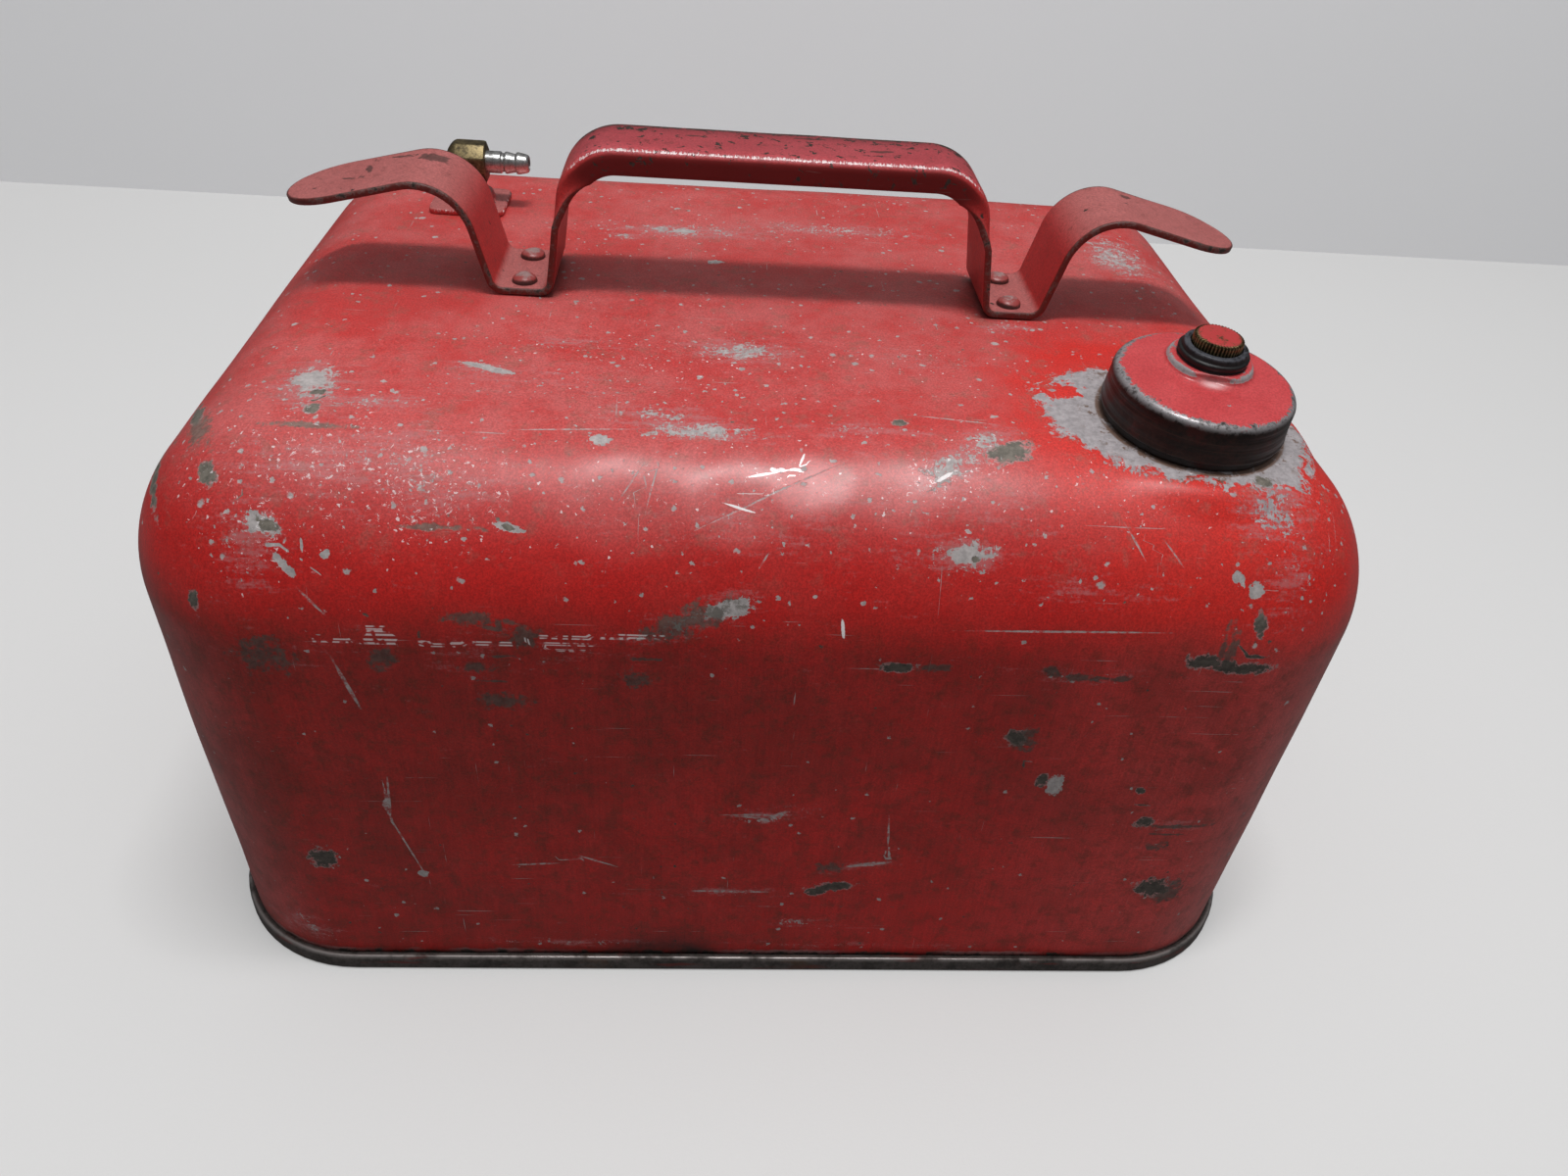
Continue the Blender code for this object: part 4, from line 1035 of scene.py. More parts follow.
def chip_layers(points, normals, chips):
    """Each vertex's place in the nearest mark's own ellipse, kept apart by kind."""
    layers = {}
    for kind, marks in chips.items():
        layer = np.tile((9.0, 9.0, 0.0), (len(points), 1))
        for x, y, z, *sizes, turn in marks:
            long, wide = np.array(sizes) / 1000
            target = np.array((x, y, z)) / 1000
            away = points - target
            nearest = int(np.argmin((away * away).sum(1)))
            normal = normals[nearest]
            centre = target - normal * ((target - points[nearest]) @ normal)
            along = np.cross(np.cross(normal, (1.0, 0.0, 0.0)), normal)
            along /= np.linalg.norm(along)
            across = np.cross(normal, along)
            angle = math.radians(turn)
            away = points - centre
            u = away @ (along * math.cos(angle) + across * math.sin(angle))
            v = away @ (-along * math.sin(angle) + across * math.cos(angle))
            near = (np.abs(u) < long * MARK_REACH + 2.2 * GRID) & (np.abs(v) < wide * MARK_REACH + 2.2 * GRID)
            near &= np.abs(away @ normal) < MARK_DEPTH
            u, v = u / long, v / wide
            near &= u * u + v * v < layer[:, 0] ** 2 + layer[:, 1] ** 2
            layer[near] = np.stack([u, v, np.ones(len(u))], axis=1)[near]
        layers[kind] = layer
    return layers


def soot_and_shadow_weights(points):
    """Sooty smudges low on the front, a dark line just over the seam, and a painted shadow where the handle
    stands on the top.
    """
    x, y, height = np.abs(points[:, 0]), np.abs(points[:, 1]), points[:, 2]
    smudge = np.exp(-(((points[:, 0] + 0.032) / 0.020) ** 2) - ((height - 0.010) / 0.009) ** 2)
    line = 0.5 * np.exp(-(((height - HEM_LOW + 0.0002) / 0.0022) ** 2))
    front = points[:, 1] < -HALF_Y + 0.03
    foot_x = GRIP_HALF_RUN + GRIP_BEND + 0.0065
    # Painted shadow: dark where the handle's ends stand on the top.
    foot_shadow = np.exp(-(((x - foot_x) / 0.0045) ** 2)) * smoothstep(0.023, 0.016, y) * (height > TOP_Z - 0.01)
    return np.clip((smudge + line) * front + 0.8 * foot_shadow, 0, 1)


def make_shell():
    """The drawn skin: one closed sheet, with its wear, its painted glints and its painted shadow laid on as
    attributes.
    """
    points, faces = shell_surface()
    points, faces = used_only(points, faces)
    points, from_filler = shape_shell(points)
    shell = mesh_object("tank_skin", points, faces, "tank", ("tank_shell",))
    normals = np.zeros(len(points) * 3)
    shell.data.vertices.foreach_get("normal", normals)
    normals = normals.reshape(-1, 3)
    paint(shell, "scuff", patch_weights(points, SCUFFS))
    paint(shell, "sparkle", patch_weights(points, SPARKLES))
    for kind, values in chip_layers(points, normals, CHIPS).items():
        paint(shell, f"marks_{kind}", values)
    angle = np.degrees(np.arctan2(points[:, 1] - FILLER_AT.y, points[:, 0] - FILLER_AT.x))
    reach = np.interp(angle, [a for a, _ in PRIMER_REACH], [r for _, r in PRIMER_REACH])
    off_cap = (from_filler - CAP_RADIUS) * 1000
    paint(shell, "off_cap", off_cap)
    paint(shell, "collar", np.clip((reach - off_cap) / 9, -2, 2))
    height = points[:, 2]
    paint(shell, "hem", 1 - smoothstep(HEM_LOW, HEM_HIGH, height))
    paint(shell, "soot_and_shadow", soot_and_shadow_weights(points))
    sheet = shell.modifiers.new("sheet", "SOLIDIFY")
    sheet.thickness = SHEET
    sheet.offset = -1.0
    shell.data.materials.append(body_enamel())


# ---------------------------------------------------------------- the rolled seam and the pan


def outline(steps=16):
    """The tank's rounded rectangle in plan, as points anticlockwise."""
    corners = []
    for quarter, (side_x, side_y) in enumerate(((1, 1), (-1, 1), (-1, -1), (1, -1))):
        for step in range(steps + 1):
            angle = (quarter + step / steps) * math.pi / 2
            x = side_x * (HALF_X - CORNER) + CORNER * math.cos(angle)
            y = side_y * (HALF_Y - CORNER) + CORNER * math.sin(angle)
            corners.append((x, y))
    fine = []
    for (x0, y0), (x1, y1) in zip(corners, corners[1:] + corners[:1]):
        count = max(1, round(math.hypot(x1 - x0, y1 - y0) / 0.006))
        for step in range(count):
            t = step / count
            fine.append((x0 + (x1 - x0) * t, y0 + (y1 - y0) * t))
    return fine


def outline_at(out):
    """The outline moved out by a distance."""
    points = []
    for x, y in outline():
        core_x = max(CORNER - HALF_X, min(HALF_X - CORNER, x))
        core_y = max(CORNER - HALF_Y, min(HALF_Y - CORNER, y))
        away = Vector((x - core_x, y - core_y)).normalized()
        points.append((x + away.x * out, y + away.y * out))
    return points


def make_seam():
    """The pan's rim folded round the shell's hook, as one closed sheet with a rounded outer face."""
    sheet = 0.0009
    outer, wall = OVERHANG, 0.0003
    section = softened(
        [
            (wall, 0.0063, 0.0), (wall, 0.0066, 0.0003), (0.0013, 0.0071, 0.0008),
            (0.0026, 0.0072, 0.0012), (outer, 0.0058, 0.0015), (outer, 0.0, 0.0014),
            (-SHEET - GAP - sheet * 1.1, 0.0, 0.0009), (-SHEET - GAP - sheet * 1.1, 0.0086, 0.0016),
            (-0.012, 0.0095, 0.0),
        ]
    )
    inner = softened(
        [
            (-0.012, 0.0086, 0.0), (-SHEET - GAP, 0.0078, 0.0012), (-SHEET - GAP, sheet, 0.0004),
            (outer - sheet, sheet, 0.0008), (outer - sheet, 0.0061, 0.0008), (wall, 0.0058, 0.0),
        ]
    )
    loop = section + inner
    count = len(outline())
    verts, crest = [], []
    for out, z in loop:
        for k, (x, y) in enumerate(outline_at(out)):
            wander = noise.noise(Vector((x * 16, y * 16, 3.0))) * 0.00022
            grow = max(0.0, min(1.0, out / outer)) * max(0.0, math.sin(math.pi * min(z, 0.0072) / 0.0072))
            away = Vector((x, y, 0.0)).normalized() * (wander - 0.00022) * grow
            verts.append(Vector((x, y, z)) + away)
            crest.append(math.exp(-(((out - 0.0024) / 0.0006) ** 2)) if z > 0.0060 else 0.0)
    faces = []
    rows = len(loop)
    for row in range(rows):
        below = (row + 1) % rows
        for k in range(count):
            after = (k + 1) % count
            faces.append((row * count + k, below * count + k, below * count + after, row * count + after))
    rim = mesh_object("seam_rim", verts, faces, "tank", ("bottom_pan",))
    paint(rim, "crest", crest)
    rim.data.materials.append(seam_steel())


def make_pan_floor():
    """The pan's floor inside the rim, a thin closed plate with a shallow pressed panel."""
    rings = [(-0.0118, 0.0090), (-0.030, 0.0090), (-0.034, 0.0098)]
    rings += [(-0.037, 0.0100), (-0.075, 0.0100), (-0.145, 0.0100)]
    half = 0.00045
    plain = outline()
    count = len(plain)
    verts = []
    for sign in (-1, 1):
        for out, z in rings:
            shrink = Vector((1.0 + out / HALF_X, 1.0 + out / HALF_Y))
            verts += [Vector((x * shrink.x, y * shrink.y, z + sign * half)) for x, y in plain]
        verts.append(Vector((0.0, 0.0, rings[-1][1] + sign * half)))
    faces = []
    side = len(rings) * count + 1
    for base in (0, side):
        for row in range(len(rings) - 1):
            for k in range(count):
                after = (k + 1) % count
                a, b = base + row * count, base + (row + 1) * count
                faces.append((a + k, a + after, b + after, b + k))
        last = base + (len(rings) - 1) * count
        faces += [(last + k, last + (k + 1) % count, base + side - 1) for k in range(count)]
    faces += [(k, (k + 1) % count, side + (k + 1) % count, side + k) for k in range(count)]
    floor = mesh_object("pan_floor", verts, faces, "tank", ("bottom_pan",))
    paint(floor, "crest", np.zeros(len(verts)))
    floor.data.materials.append(bpy.data.materials["seam_steel"])


# ---------------------------------------------------------------- the strap handle


def bent_path(start, moves):
    """Points along a bent strip. A move is a length straight on, or (radius, turn, steps)."""
    x, z = start
    heading = 0.0
    points = [(x, z, heading)]
    for move in moves:
        if not isinstance(move, tuple):
            count = max(1, round(move / 0.003))
            for step in range(1, count + 1):
                along = move * step / count
                points.append((x + along * math.cos(heading), z + along * math.sin(heading), heading))
            x, z = points[-1][:2]
            continue
        radius, turn_by, steps = move
        side = math.copysign(radius, turn_by)
        centre_x = x - side * math.sin(heading)
        centre_z = z + side * math.cos(heading)
        for step in range(1, steps + 1):
            angle = heading + turn_by * step / steps
            points.append((centre_x + side * math.sin(angle), centre_z - side * math.cos(angle), angle))
        heading += turn_by
        x, z = points[-1][:2]
    return points


def strap_path():
    """The right half of the handle, from the middle of the grip to the wing's tip."""
    foot_z = TOP_Z + GAP + STRAP / 2
    leg_drop = GRIP_Z - foot_z - (GRIP_BEND + FOOT_BEND) * (1 - math.cos(LEG_ANGLE))
    rise = WING_CREST_Z - foot_z - (WING_BEND + WING_CREST_RADIUS) * (1 - math.cos(WING_ANGLE))
    moves = [
        GRIP_HALF_RUN,
        (GRIP_BEND, -LEG_ANGLE, 20),
        leg_drop / math.sin(LEG_ANGLE),
        (FOOT_BEND, LEG_ANGLE, 10),
        FOOT_RUN,
        (WING_BEND, WING_ANGLE, 10),
        rise / math.sin(WING_ANGLE),
        (WING_CREST_RADIUS, -WING_ANGLE - WING_SLOPE, 20),
    ]
    points = bent_path((0.0, GRIP_Z), moves)
    x, z, heading = points[-1]
    shares = [(step / 14) ** 0.7 * 0.5 for step in range(1, 14)]
    shares += [0.5 + 0.5 * math.sin(step / 14 * math.pi / 2) for step in range(15)]
    round_from = WING_TIP_X - WING_ROUND_RUN
    for share in shares:
        if share < 0.5:
            there = x + (round_from - x) * share * 2
        else:
            there = round_from + WING_ROUND_RUN * (share - 0.5) * 2
        along = (there - x) / math.cos(heading)
        points.append((there, z + along * math.sin(heading), heading))
    return points


def strap_row(x, z, heading, across):
    """Mid-thickness points across the strip, and how far each is from the strip's edge."""
    tip = max(0.0, min(1.0, (x - (WING_TIP_X - WING_ROUND_RUN)) / WING_ROUND_RUN))
    half = STRAP_HALF * math.sqrt(max(0.0, 1 - tip * tip))
    turned_down = 0.0
    if x < GRIP_HALF_RUN + GRIP_BEND + FOOT_BEND:
        turned_down = max(0.0, min(1.0, (z - CHANNEL_FROM_Z) / CHANNEL_RISE))
    bend = CHANNEL_BEND
    flat_run = GRIP_SIDE - bend
    total = flat_run + bend * math.pi / 2 + (GRIP_FLANGE - bend)
    row = []
    for share in across:
        s = abs(share) * total
        if s < flat_run:
            y, down = s, 0.0
        elif s < flat_run + bend * math.pi / 2:
            a = (s - flat_run) / bend
            y, down = flat_run + bend * math.sin(a), bend * (1 - math.cos(a))
        else:
            y, down = GRIP_SIDE, bend + s - flat_run - bend * math.pi / 2
        y = abs(share) * half * (1 - turned_down) + y * turned_down
        down *= turned_down
        y = math.copysign(y, share) if share else 0.0
        if tip > 0.0:
            reach = math.hypot(tip, share * math.sqrt(max(0.0, 1 - tip * tip)))
            edge = (1 - reach) * STRAP_HALF
        else:
            edge = (1 - abs(share)) * STRAP_HALF
        row.append((Vector((x + down * math.sin(heading), y, z - down * math.cos(heading))), max(edge, 0.0)))
    return row


# Dark rubbed marks on the handle, as the shell's marks.
STRAP_MARKS = {
    DARK_STEEL: (
        (-124, 9, 256, 4.8, 4.4, 10), (-136, 13, 256, 4.5, 1, 20), (-146, 5, 254, 1.1, 4.6, -15),
        (-152, -2, 252, 3.4, 0.8, 30), (134, 12, 256, 2.6, 2.4, 0), (-30, 4, 274, 3, 1, 0),
        (38, -2, 274, 4, 1.2, 10), (12, 8, 274, 6, 0.8, 0),
    ),
}


def make_strap():
    """One strip of steel, its top and bottom faces joined by a rounded edge."""
    half_path = strap_path()
    path = [(-x, z, -heading) for x, z, heading in half_path[:0:-1]] + half_path
    edges = [0.0, 0.00018, 0.0006, 0.0016]
    positive = [1 - e / STRAP_HALF for e in edges]
    positive += [0.885] + [0.85 - 0.03 * step for step in range(10)] + [0.52, 0.46, 0.34, 0.22, 0.11]
    across = [-p for p in positive] + [0.0] + positive[::-1]
    rows = []
    for x, z, heading in path:
        mirrored = x < 0
        row = strap_row(abs(x), z, -heading if mirrored else heading, across)
        if mirrored:
            row = [(Vector((-p.x, p.y, p.z)), e) for p, e in row]
        rows.append(row)
    count, width = len(rows), len(across)
    middle = np.array([[tuple(p) for p, _ in row] for row in rows])
    edge = np.array([[e for _, e in row] for row in rows])
    along = np.gradient(middle, axis=0)
    sideways = np.gradient(middle, axis=1)
    normal = np.cross(along, sideways)
    length = np.linalg.norm(normal, axis=2)[:, :, None]
    normal = normal / np.maximum(length, 1e-12)
    normal[0], normal[-1] = normal[1], normal[-2]
    for end, inside in ((0, 3), (count - 1, count - 4)):
        for k in range(3):
            row = end + k if end == 0 else end - k
            normal[row] = normal[inside]
    inside_edge = np.clip((STRAP_EDGE - edge) / STRAP_EDGE, 0, 1)
    thick = STRAP / 2 - STRAP_EDGE + STRAP_EDGE * np.sqrt(1 - inside_edge**2)
    uneven = np.array([[lift(middle[i, j], 60.0, 5) for j in range(width)] for i in range(count)])
    top = middle + normal * (thick + uneven * 0.00012 - 0.00012)[:, :, None]
    low = middle - normal * (thick - 0.00008)[:, :, None]
    verts = np.concatenate([top.reshape(-1, 3), low.reshape(-1, 3)])
    half = count * width
    faces = []
    for i in range(count - 1):
        for j in range(width - 1):
            a = i * width + j
            faces.append((a, a + width, a + width + 1, a + 1))
            faces.append((half + a, half + a + 1, half + a + width + 1, half + a + width))
        for j in (0, width - 1):
            a = i * width + j
            faces.append((a, a + width, half + a + width, half + a))
    faces = merged_tips(verts, faces)
    strap = mesh_object("strap_handle", verts, faces, "tank", ("carry_handle",))
    near = np.exp(-((edge / 0.0011) ** 2))
    height = middle[:, :, 2]
    grip = smoothstep(0.262, 0.268, height) * (np.abs(middle[:, :, 0]) < 0.085)
    share = np.abs(np.array(across))[None, :]
    raised = smoothstep(0.256, 0.268, height[:, width // 2]) * (np.abs(middle[:, width // 2, 0]) < 0.085)
    raised = raised[:, None]
    # A painted highlight along the grip's front bend, where it catches the lamp, over real rubbing.
    crest_line = np.exp(-(((share - 0.630) / 0.036) ** 2)) * (middle[:, :, 1] < 0)
    rubbed_and_highlight = crest_line * raised * (np.abs(middle[:, :, 0]) < 0.078)
    # Where the grip's front flange is, for its painted shade.
    flange = smoothstep(0.655, 0.705, share) * raised
    back_edge = np.exp(-(((share - 0.66) / 0.06) ** 2)) * (middle[:, :, 1] > 0) * raised
    crest = smoothstep(0.250, 0.257, height) * (np.abs(middle[:, :, 0]) > 0.09) * 0.30
    wear = np.clip(near * (1 - 0.6 * flange) + grip * 0.10 * (1 - flange) + crest + back_edge * 0.75, 0, 1)
    paint(strap, "wear", np.concatenate([wear.ravel(), (near * 0.8).ravel()]))
    paint(strap, "rubbed_and_highlight", np.concatenate([rubbed_and_highlight.ravel(), rubbed_and_highlight.ravel()]))
    paint(strap, "grip", np.concatenate([grip.ravel(), grip.ravel()]))
    paint(strap, "flange", np.concatenate([flange.ravel(), flange.ravel()]))
    normals = normal.reshape(-1, 3)
    marks = chip_layers(verts, np.concatenate([normals, -normals]), STRAP_MARKS)
    paint(strap, f"marks_{DARK_STEEL}", marks[DARK_STEEL])
    finish_piece(strap, strap_enamel())


def merged_tips(verts, faces):
    """Faces without the corners that fall together where the strip ends in a point."""
    kept = []
    for face in faces:
        corners = []
        for index in face:
            if not corners or np.linalg.norm(verts[index] - verts[corners[-1]]) > 1e-7:
                corners.append(index)
        if len(corners) > 1 and np.linalg.norm(verts[corners[0]] - verts[corners[-1]]) < 1e-7:
            corners.pop()
        if len(corners) > 2:
            kept.append(tuple(corners))
    return kept


def make_rivets():
    """Four dome-headed rivets, each with a slightly different hammered head."""
    for word, side in (("left", -1), ("right", 1)):
        for depth_word, depth in (("front", -1), ("rear", 1)):
            node = f"handle_rivet_{word}_{depth_word}"
            low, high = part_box(node)
            middle = (low + high) / 2
            head = TOP_Z + 2 * GAP + STRAP
            profile = softened(
                [
                    (0.0, high.z, 0.0), (0.0022, high.z - 0.00005, 0.0010),
                    (0.0042, high.z - 0.0011, 0.0012), (0.0046, head + 0.0005, 0.0004),
                    (0.0047, head - GAP, 0.0), (0.0023, head - GAP, 0.0), (0.0023, low.z + 0.0014, 0.0),
                    (0.0038, low.z + 0.0013, 0.0003), (0.0033, low.z, 0.0004), (0.0, low.z, 0.0),
                ]
            )
            place = Matrix.Translation((middle.x, middle.y, 0.0))
            lean = side * 0.9 + depth * 0.7

            def hammered(radius, angle, z, lean=lean, head=head):
                flat = 0.00018 * math.sin(angle * 2 + lean) * min(1.0, radius / 0.003) * (z > head)
                return radius, z + flat - 0.0002 * (z > head)

            name = f"rivet_{word}_{depth_word}"
            rivet = turned(name, profile, 40, place, "tank", (node,), hammered)
            finish_piece(rivet, bpy.data.materials.get("enamel_rivet") or rivet_enamel())


# ---------------------------------------------------------------- the filler


def thread_wave(low, high, pitch, height, turns_at):
    """A function that says how far a rolled thread stands out at an angle and height."""

    def wave(angle, z):
        started = float(smoothstep(low - 0.0012, low + 0.0008, z))
        inside = started * (1 - float(smoothstep(high - 0.0008, high + 0.0012, z)))
        phase = ((z - low) / pitch - (angle / math.tau + turns_at)) % 1.0
        return height * inside * math.exp(-(((phase - 0.5) / 0.17) ** 2))

    return wave


def make_neck():
    """The filler neck, its rolled thread and its flange."""
    wave = thread_wave(0.0042, 0.0104, 0.005, 0.0012, 0.0)
    walls = [(0.0269, 0.0124 - k * 0.00035, 0.0) for k in range(36)]
    inside = [(0.0259, -0.0040 + k * 0.00045, 0.0) for k in range(34)]
    profile = softened(
        [(0.0246, 0.0128, 0.0), (0.0265, 0.0128, 0.0004)]
        + walls
        + [(0.0269, -0.0030, 0.0003), (0.0310, -0.0030, 0.0), (0.0310, -0.0040, 0.0)]
        + inside
        + [(0.0259, 0.0118, 0.0004), (0.0246, 0.0118, 0.0)]
    )

    def rolled(radius, angle, z):
        grown = wave(angle, z) if 0.0255 < radius < 0.0275 else 0.0
        return radius + grown, z

    neck = turned("neck", profile, 120, FILLER, "tank", ("filler_neck",), rolled)
    finish_piece(neck, worn_steel())


def make_cap():
    """The cap and its off-centre vent boss, one pressing: its rings move from the boss's middle outwards."""
    top, sheet, boss_top, boss = CAP_TOP, CAP_SHEET, BOSS_TOP, BOSS
    roll, roll_at = 0.0029, 0.0267
    turns = [math.radians(90 - 10 * k) for k in range(10)]
    edge = [(roll_at + roll * math.cos(a), top - 0.0003 - roll * (1 - math.sin(a)), 0.0) for a in turns]
    skirt_top = edge[-1][1]
    skirt = []
    for step in range(22, -1, -1):
        skirt.append((CAP_RADIUS - 0.0007 * step / 22, 0.0038 + (skirt_top - 0.0042) * step / 22, 0.0))
    profile = softened(
        [
            (0.0060, boss_top - 0.0002, 0.0), (0.0064, boss_top, 0.0002),
            (boss - 0.0003, boss_top, 0.0010), (boss + 0.0003, top + 0.0011, 0.0008),
            (boss + 0.0010, top + 0.0003, 0.0008), (boss + 0.0030, top + 0.00005, 0.0014),
            (0.0190, top, 0.0006), (0.0225, top - 0.00008, 0.0010), (0.0245, top - 0.00015, 0.0010),
        ]
        + edge
        + skirt
        + [
            (0.0301, 0.0033, 0.0003), (0.0294, 0.0030, 0.0002), (0.0294, 0.0009, 0.0002),
            (0.0290, 0.0008, 0.0), (0.0285, 0.0012, 0.0002), (0.0284, 0.0128, 0.0010),
            (0.0262, top - sheet - 0.0005, 0.0012), (0.0200, top - sheet, 0.0),
            (boss, top - sheet, 0.0006), (boss - 0.0014, boss_top - sheet, 0.0009),
            (0.0060, boss_top - sheet, 0.0),
        ],
        3,
    )

    def centre(radius, z):
        share = 1.0 - float(smoothstep(0.0150, 0.0275, radius)) if z > top - 0.0012 - sheet else 0.0
        return Vector(VENT_OFFSET) * share

    def pressed(radius, angle, z):
        if z > top - 0.0025 and radius < 0.0180:
            away = (angle - WAIST + math.pi) % math.tau - math.pi
            bite = math.exp(-((away / math.radians(22)) ** 2))
            low = 1.0 - float(smoothstep(boss_top - 0.0010, boss_top + 0.0001, z)) * 0.55
            near = float(smoothstep(0.0090, boss - 0.001, radius))
            near *= 1 - float(smoothstep(0.0150, 0.0178, radius))
            return radius - 0.0032 * bite * low * near, z
        if radius > 0.0294 and 0.0045 < z < 0.0130:
            ribs = 0.00004 * math.sin(z / 0.0031 * math.tau) + 0.00003 * math.sin(z / 0.0013 * math.tau)
            return radius - 0.00012 + ribs + 0.00010 * math.sin(angle * 3 + 1.0), z
        return radius, z

    cap = turned("cap", profile, 144, FILLER, "cap", ("filler_cap",), pressed, centre)
    parts = np.zeros(len(cap.data.vertices) * 3)
    cap.data.attributes["part"].data.foreach_get("vector", parts)
    parts = parts.reshape(-1, 3)
    from_vent = np.hypot(parts[:, 0] - VENT_OFFSET.x, parts[:, 1] - VENT_OFFSET.y)
    rim = np.exp(-(((from_vent - boss) / 0.0013) ** 2)) * (parts[:, 2] > boss_top - 0.0016)
    paint(cap, "rim", np.clip(rim, 0, 1))
    # Where the painted highlight on the boss's waist goes.
    off_waist = np.arctan2(parts[:, 1] - VENT_OFFSET.y, parts[:, 0] - VENT_OFFSET.x) - WAIST
    wall = np.exp(-((off_waist / 0.26) ** 2) - ((from_vent - 0.0131) / 0.0017) ** 2)
    wall *= parts[:, 2] > top - 0.0004
    paint(cap, "wall", wall)
    finish_piece(cap, cap_enamel())


def make_collar():
    """The stepped black ring on the boss, and its sleeve through the cap."""
    low, top = BOSS_TOP + GAP, 0.0249
    profile = softened(
        [
            (0.0086, top, 0.0002), (0.0104, top, 0.0005), (0.0108, top - 0.0016, 0.0003),
            (0.0109, top - 0.0019, 0.0004), (0.0117, top - 0.0022, 0.0005),
            (0.0116, top - 0.0036, 0.0006), (0.0111, top - 0.0040, 0.0003), (0.0116, low, 0.0003),
            (0.0055, low, 0.0), (0.0055, 0.0150, 0.0003), (0.0031, 0.0150, 0.0),
            (0.0031, top - 0.0025, 0.0), (0.0064, top - 0.0025, 0.0), (0.0064, 0.0237, 0.0002),
            (0.0086, 0.0237, 0.0002),
        ],
        3,
    )

    def uneven(radius, angle, z):
        return radius - 0.00008 + 0.00008 * math.sin(angle * 5 + z * 900), z

    collar = turned("vent_ring", profile, 96, VENT, "cap", ("vent_collar",), uneven)
    finish_piece(collar, black_rubber())


def make_vent_screw():
    """A knurled screw: forty four flutes round its head."""
    high, low = 0.0281, 0.0240
    groove = 0.0111
    walls = [(0.0081, high - 0.0006 - k * 0.0006, 0.0) for k in range(6)]
    profile = softened(
        [
            (0.0, high, 0.0), (0.0050, high, 0.0), (0.0066, high, 0.0), (0.0075, high - 0.0001, 0.0003),
        ]
        + walls
        + [
            (0.0077, low, 0.0002), (0.0028, low, 0.0), (0.0028, groove + 0.0007, 0.0),
            (0.0020, groove + 0.0007, 0.0), (0.0020, groove - 0.0007, 0.0),
            (0.0028, groove - 0.0007, 0.0), (0.0028, 0.0098, 0.0002), (0.0018, 0.0088, 0.0002),
            (0.0, 0.0088, 0.0),
        ],
        3,
    )

    def fluted(radius, angle, z):
        if radius > 0.0070 and z > low - 0.0001:
            tooth = abs(((angle * 44 / math.tau) % 1.0) - 0.5) * 2
            return radius - 0.00062 * (1 - tooth) ** 1.2, z
        return radius, z

    screw = turned("vent_knob", profile, 352, VENT, "vent", ("vent_screw",), fluted)
    finish_piece(screw, knob_brass())


# ---------------------------------------------------------------- the fuel outlet


def make_outlet():
    """A square pressed plate with a raised hub, and the threaded spud under it."""
    half_x = (OUTLET_HIGH.x - OUTLET_LOW.x) / 2
    half_y = (OUTLET_HIGH.y - OUTLET_LOW.y) / 2
    low = TOP_Z + GAP
    top = low + 0.0020
    radius_in = 0.0058
    rings = [
        (1.0, low, 0.0), (1.0, top - 0.0009, 0.0), (0.985, top - 0.0003, 0.0), (0.955, top, 0.0),
        (0.80, top, 0.15), (0.62, top, 0.6), (0.0122, top, 1.0), (0.0108, top + 0.0004, 1.0),
        (0.0101, top + 0.0018, 1.0), (0.0096, top + 0.0036, 1.0), (0.0088, OUTLET_HIGH.z, 1.0),
        (radius_in, OUTLET_HIGH.z, 1.0), (radius_in, 0.2155, 1.0), (0.0045, 0.2155, 1.0),
        (0.0043, OUTLET_LOW.z, 1.0), (0.0087, OUTLET_LOW.z, 1.0), (0.0087, low, 1.0),
    ]
    steps = 96
    verts = []
    for size, z, roundness in rings:
        for k in range(steps):
            angle = math.tau * k / steps
            c, s = math.cos(angle), math.sin(angle)
            power = 9.0
            reach = (abs(c / half_x) ** power + abs(s / half_y) ** power) ** (-1 / power)
            spread = reach * size if size > 0.1 else size
            square = Vector((c * spread, s * spread))
            circle = Vector((c * 0.0122, s * 0.0122)) if size > 0.1 else Vector((c * size, s * size))
            flat = square.lerp(circle, roundness if size > 0.1 else 1.0)
            verts.append(Vector((OUTLET_AT.x + flat.x, OUTLET_AT.y + flat.y, z)))
    faces = []
    for row in range(len(rings)):
        below = (row + 1) % len(rings)
        for k in range(steps):
            after = (k + 1) % steps
            faces.append((row * steps + k, row * steps + after, below * steps + after, below * steps + k))
    plate = mesh_object("outlet_plate", verts, faces, "tank", ("outlet_flange",))
    points = np.array([tuple(v) for v in verts])
    far = np.maximum(np.abs(points[:, 0] - OUTLET_AT.x) / half_x, np.abs(points[:, 1] - OUTLET_AT.y) / half_y)
    wear = np.clip((far - 0.90) / 0.08, 0, 1) * (points[:, 2] > low + 0.0008)
    rear = (points[:, 1] - OUTLET_AT.y) / half_y
    paint(plate, "wear", np.clip(wear * (0.55 + 0.45 * rear), 0, 1))
    paint(plate, "rubbed_and_highlight", np.clip(wear * 0.75 + 0.25 * (rear > 0.8) * wear, 0, 1))
    paint(plate, "grip", np.zeros(len(verts)))
    finish_piece(plate, bpy.data.materials["enamel_strap"])


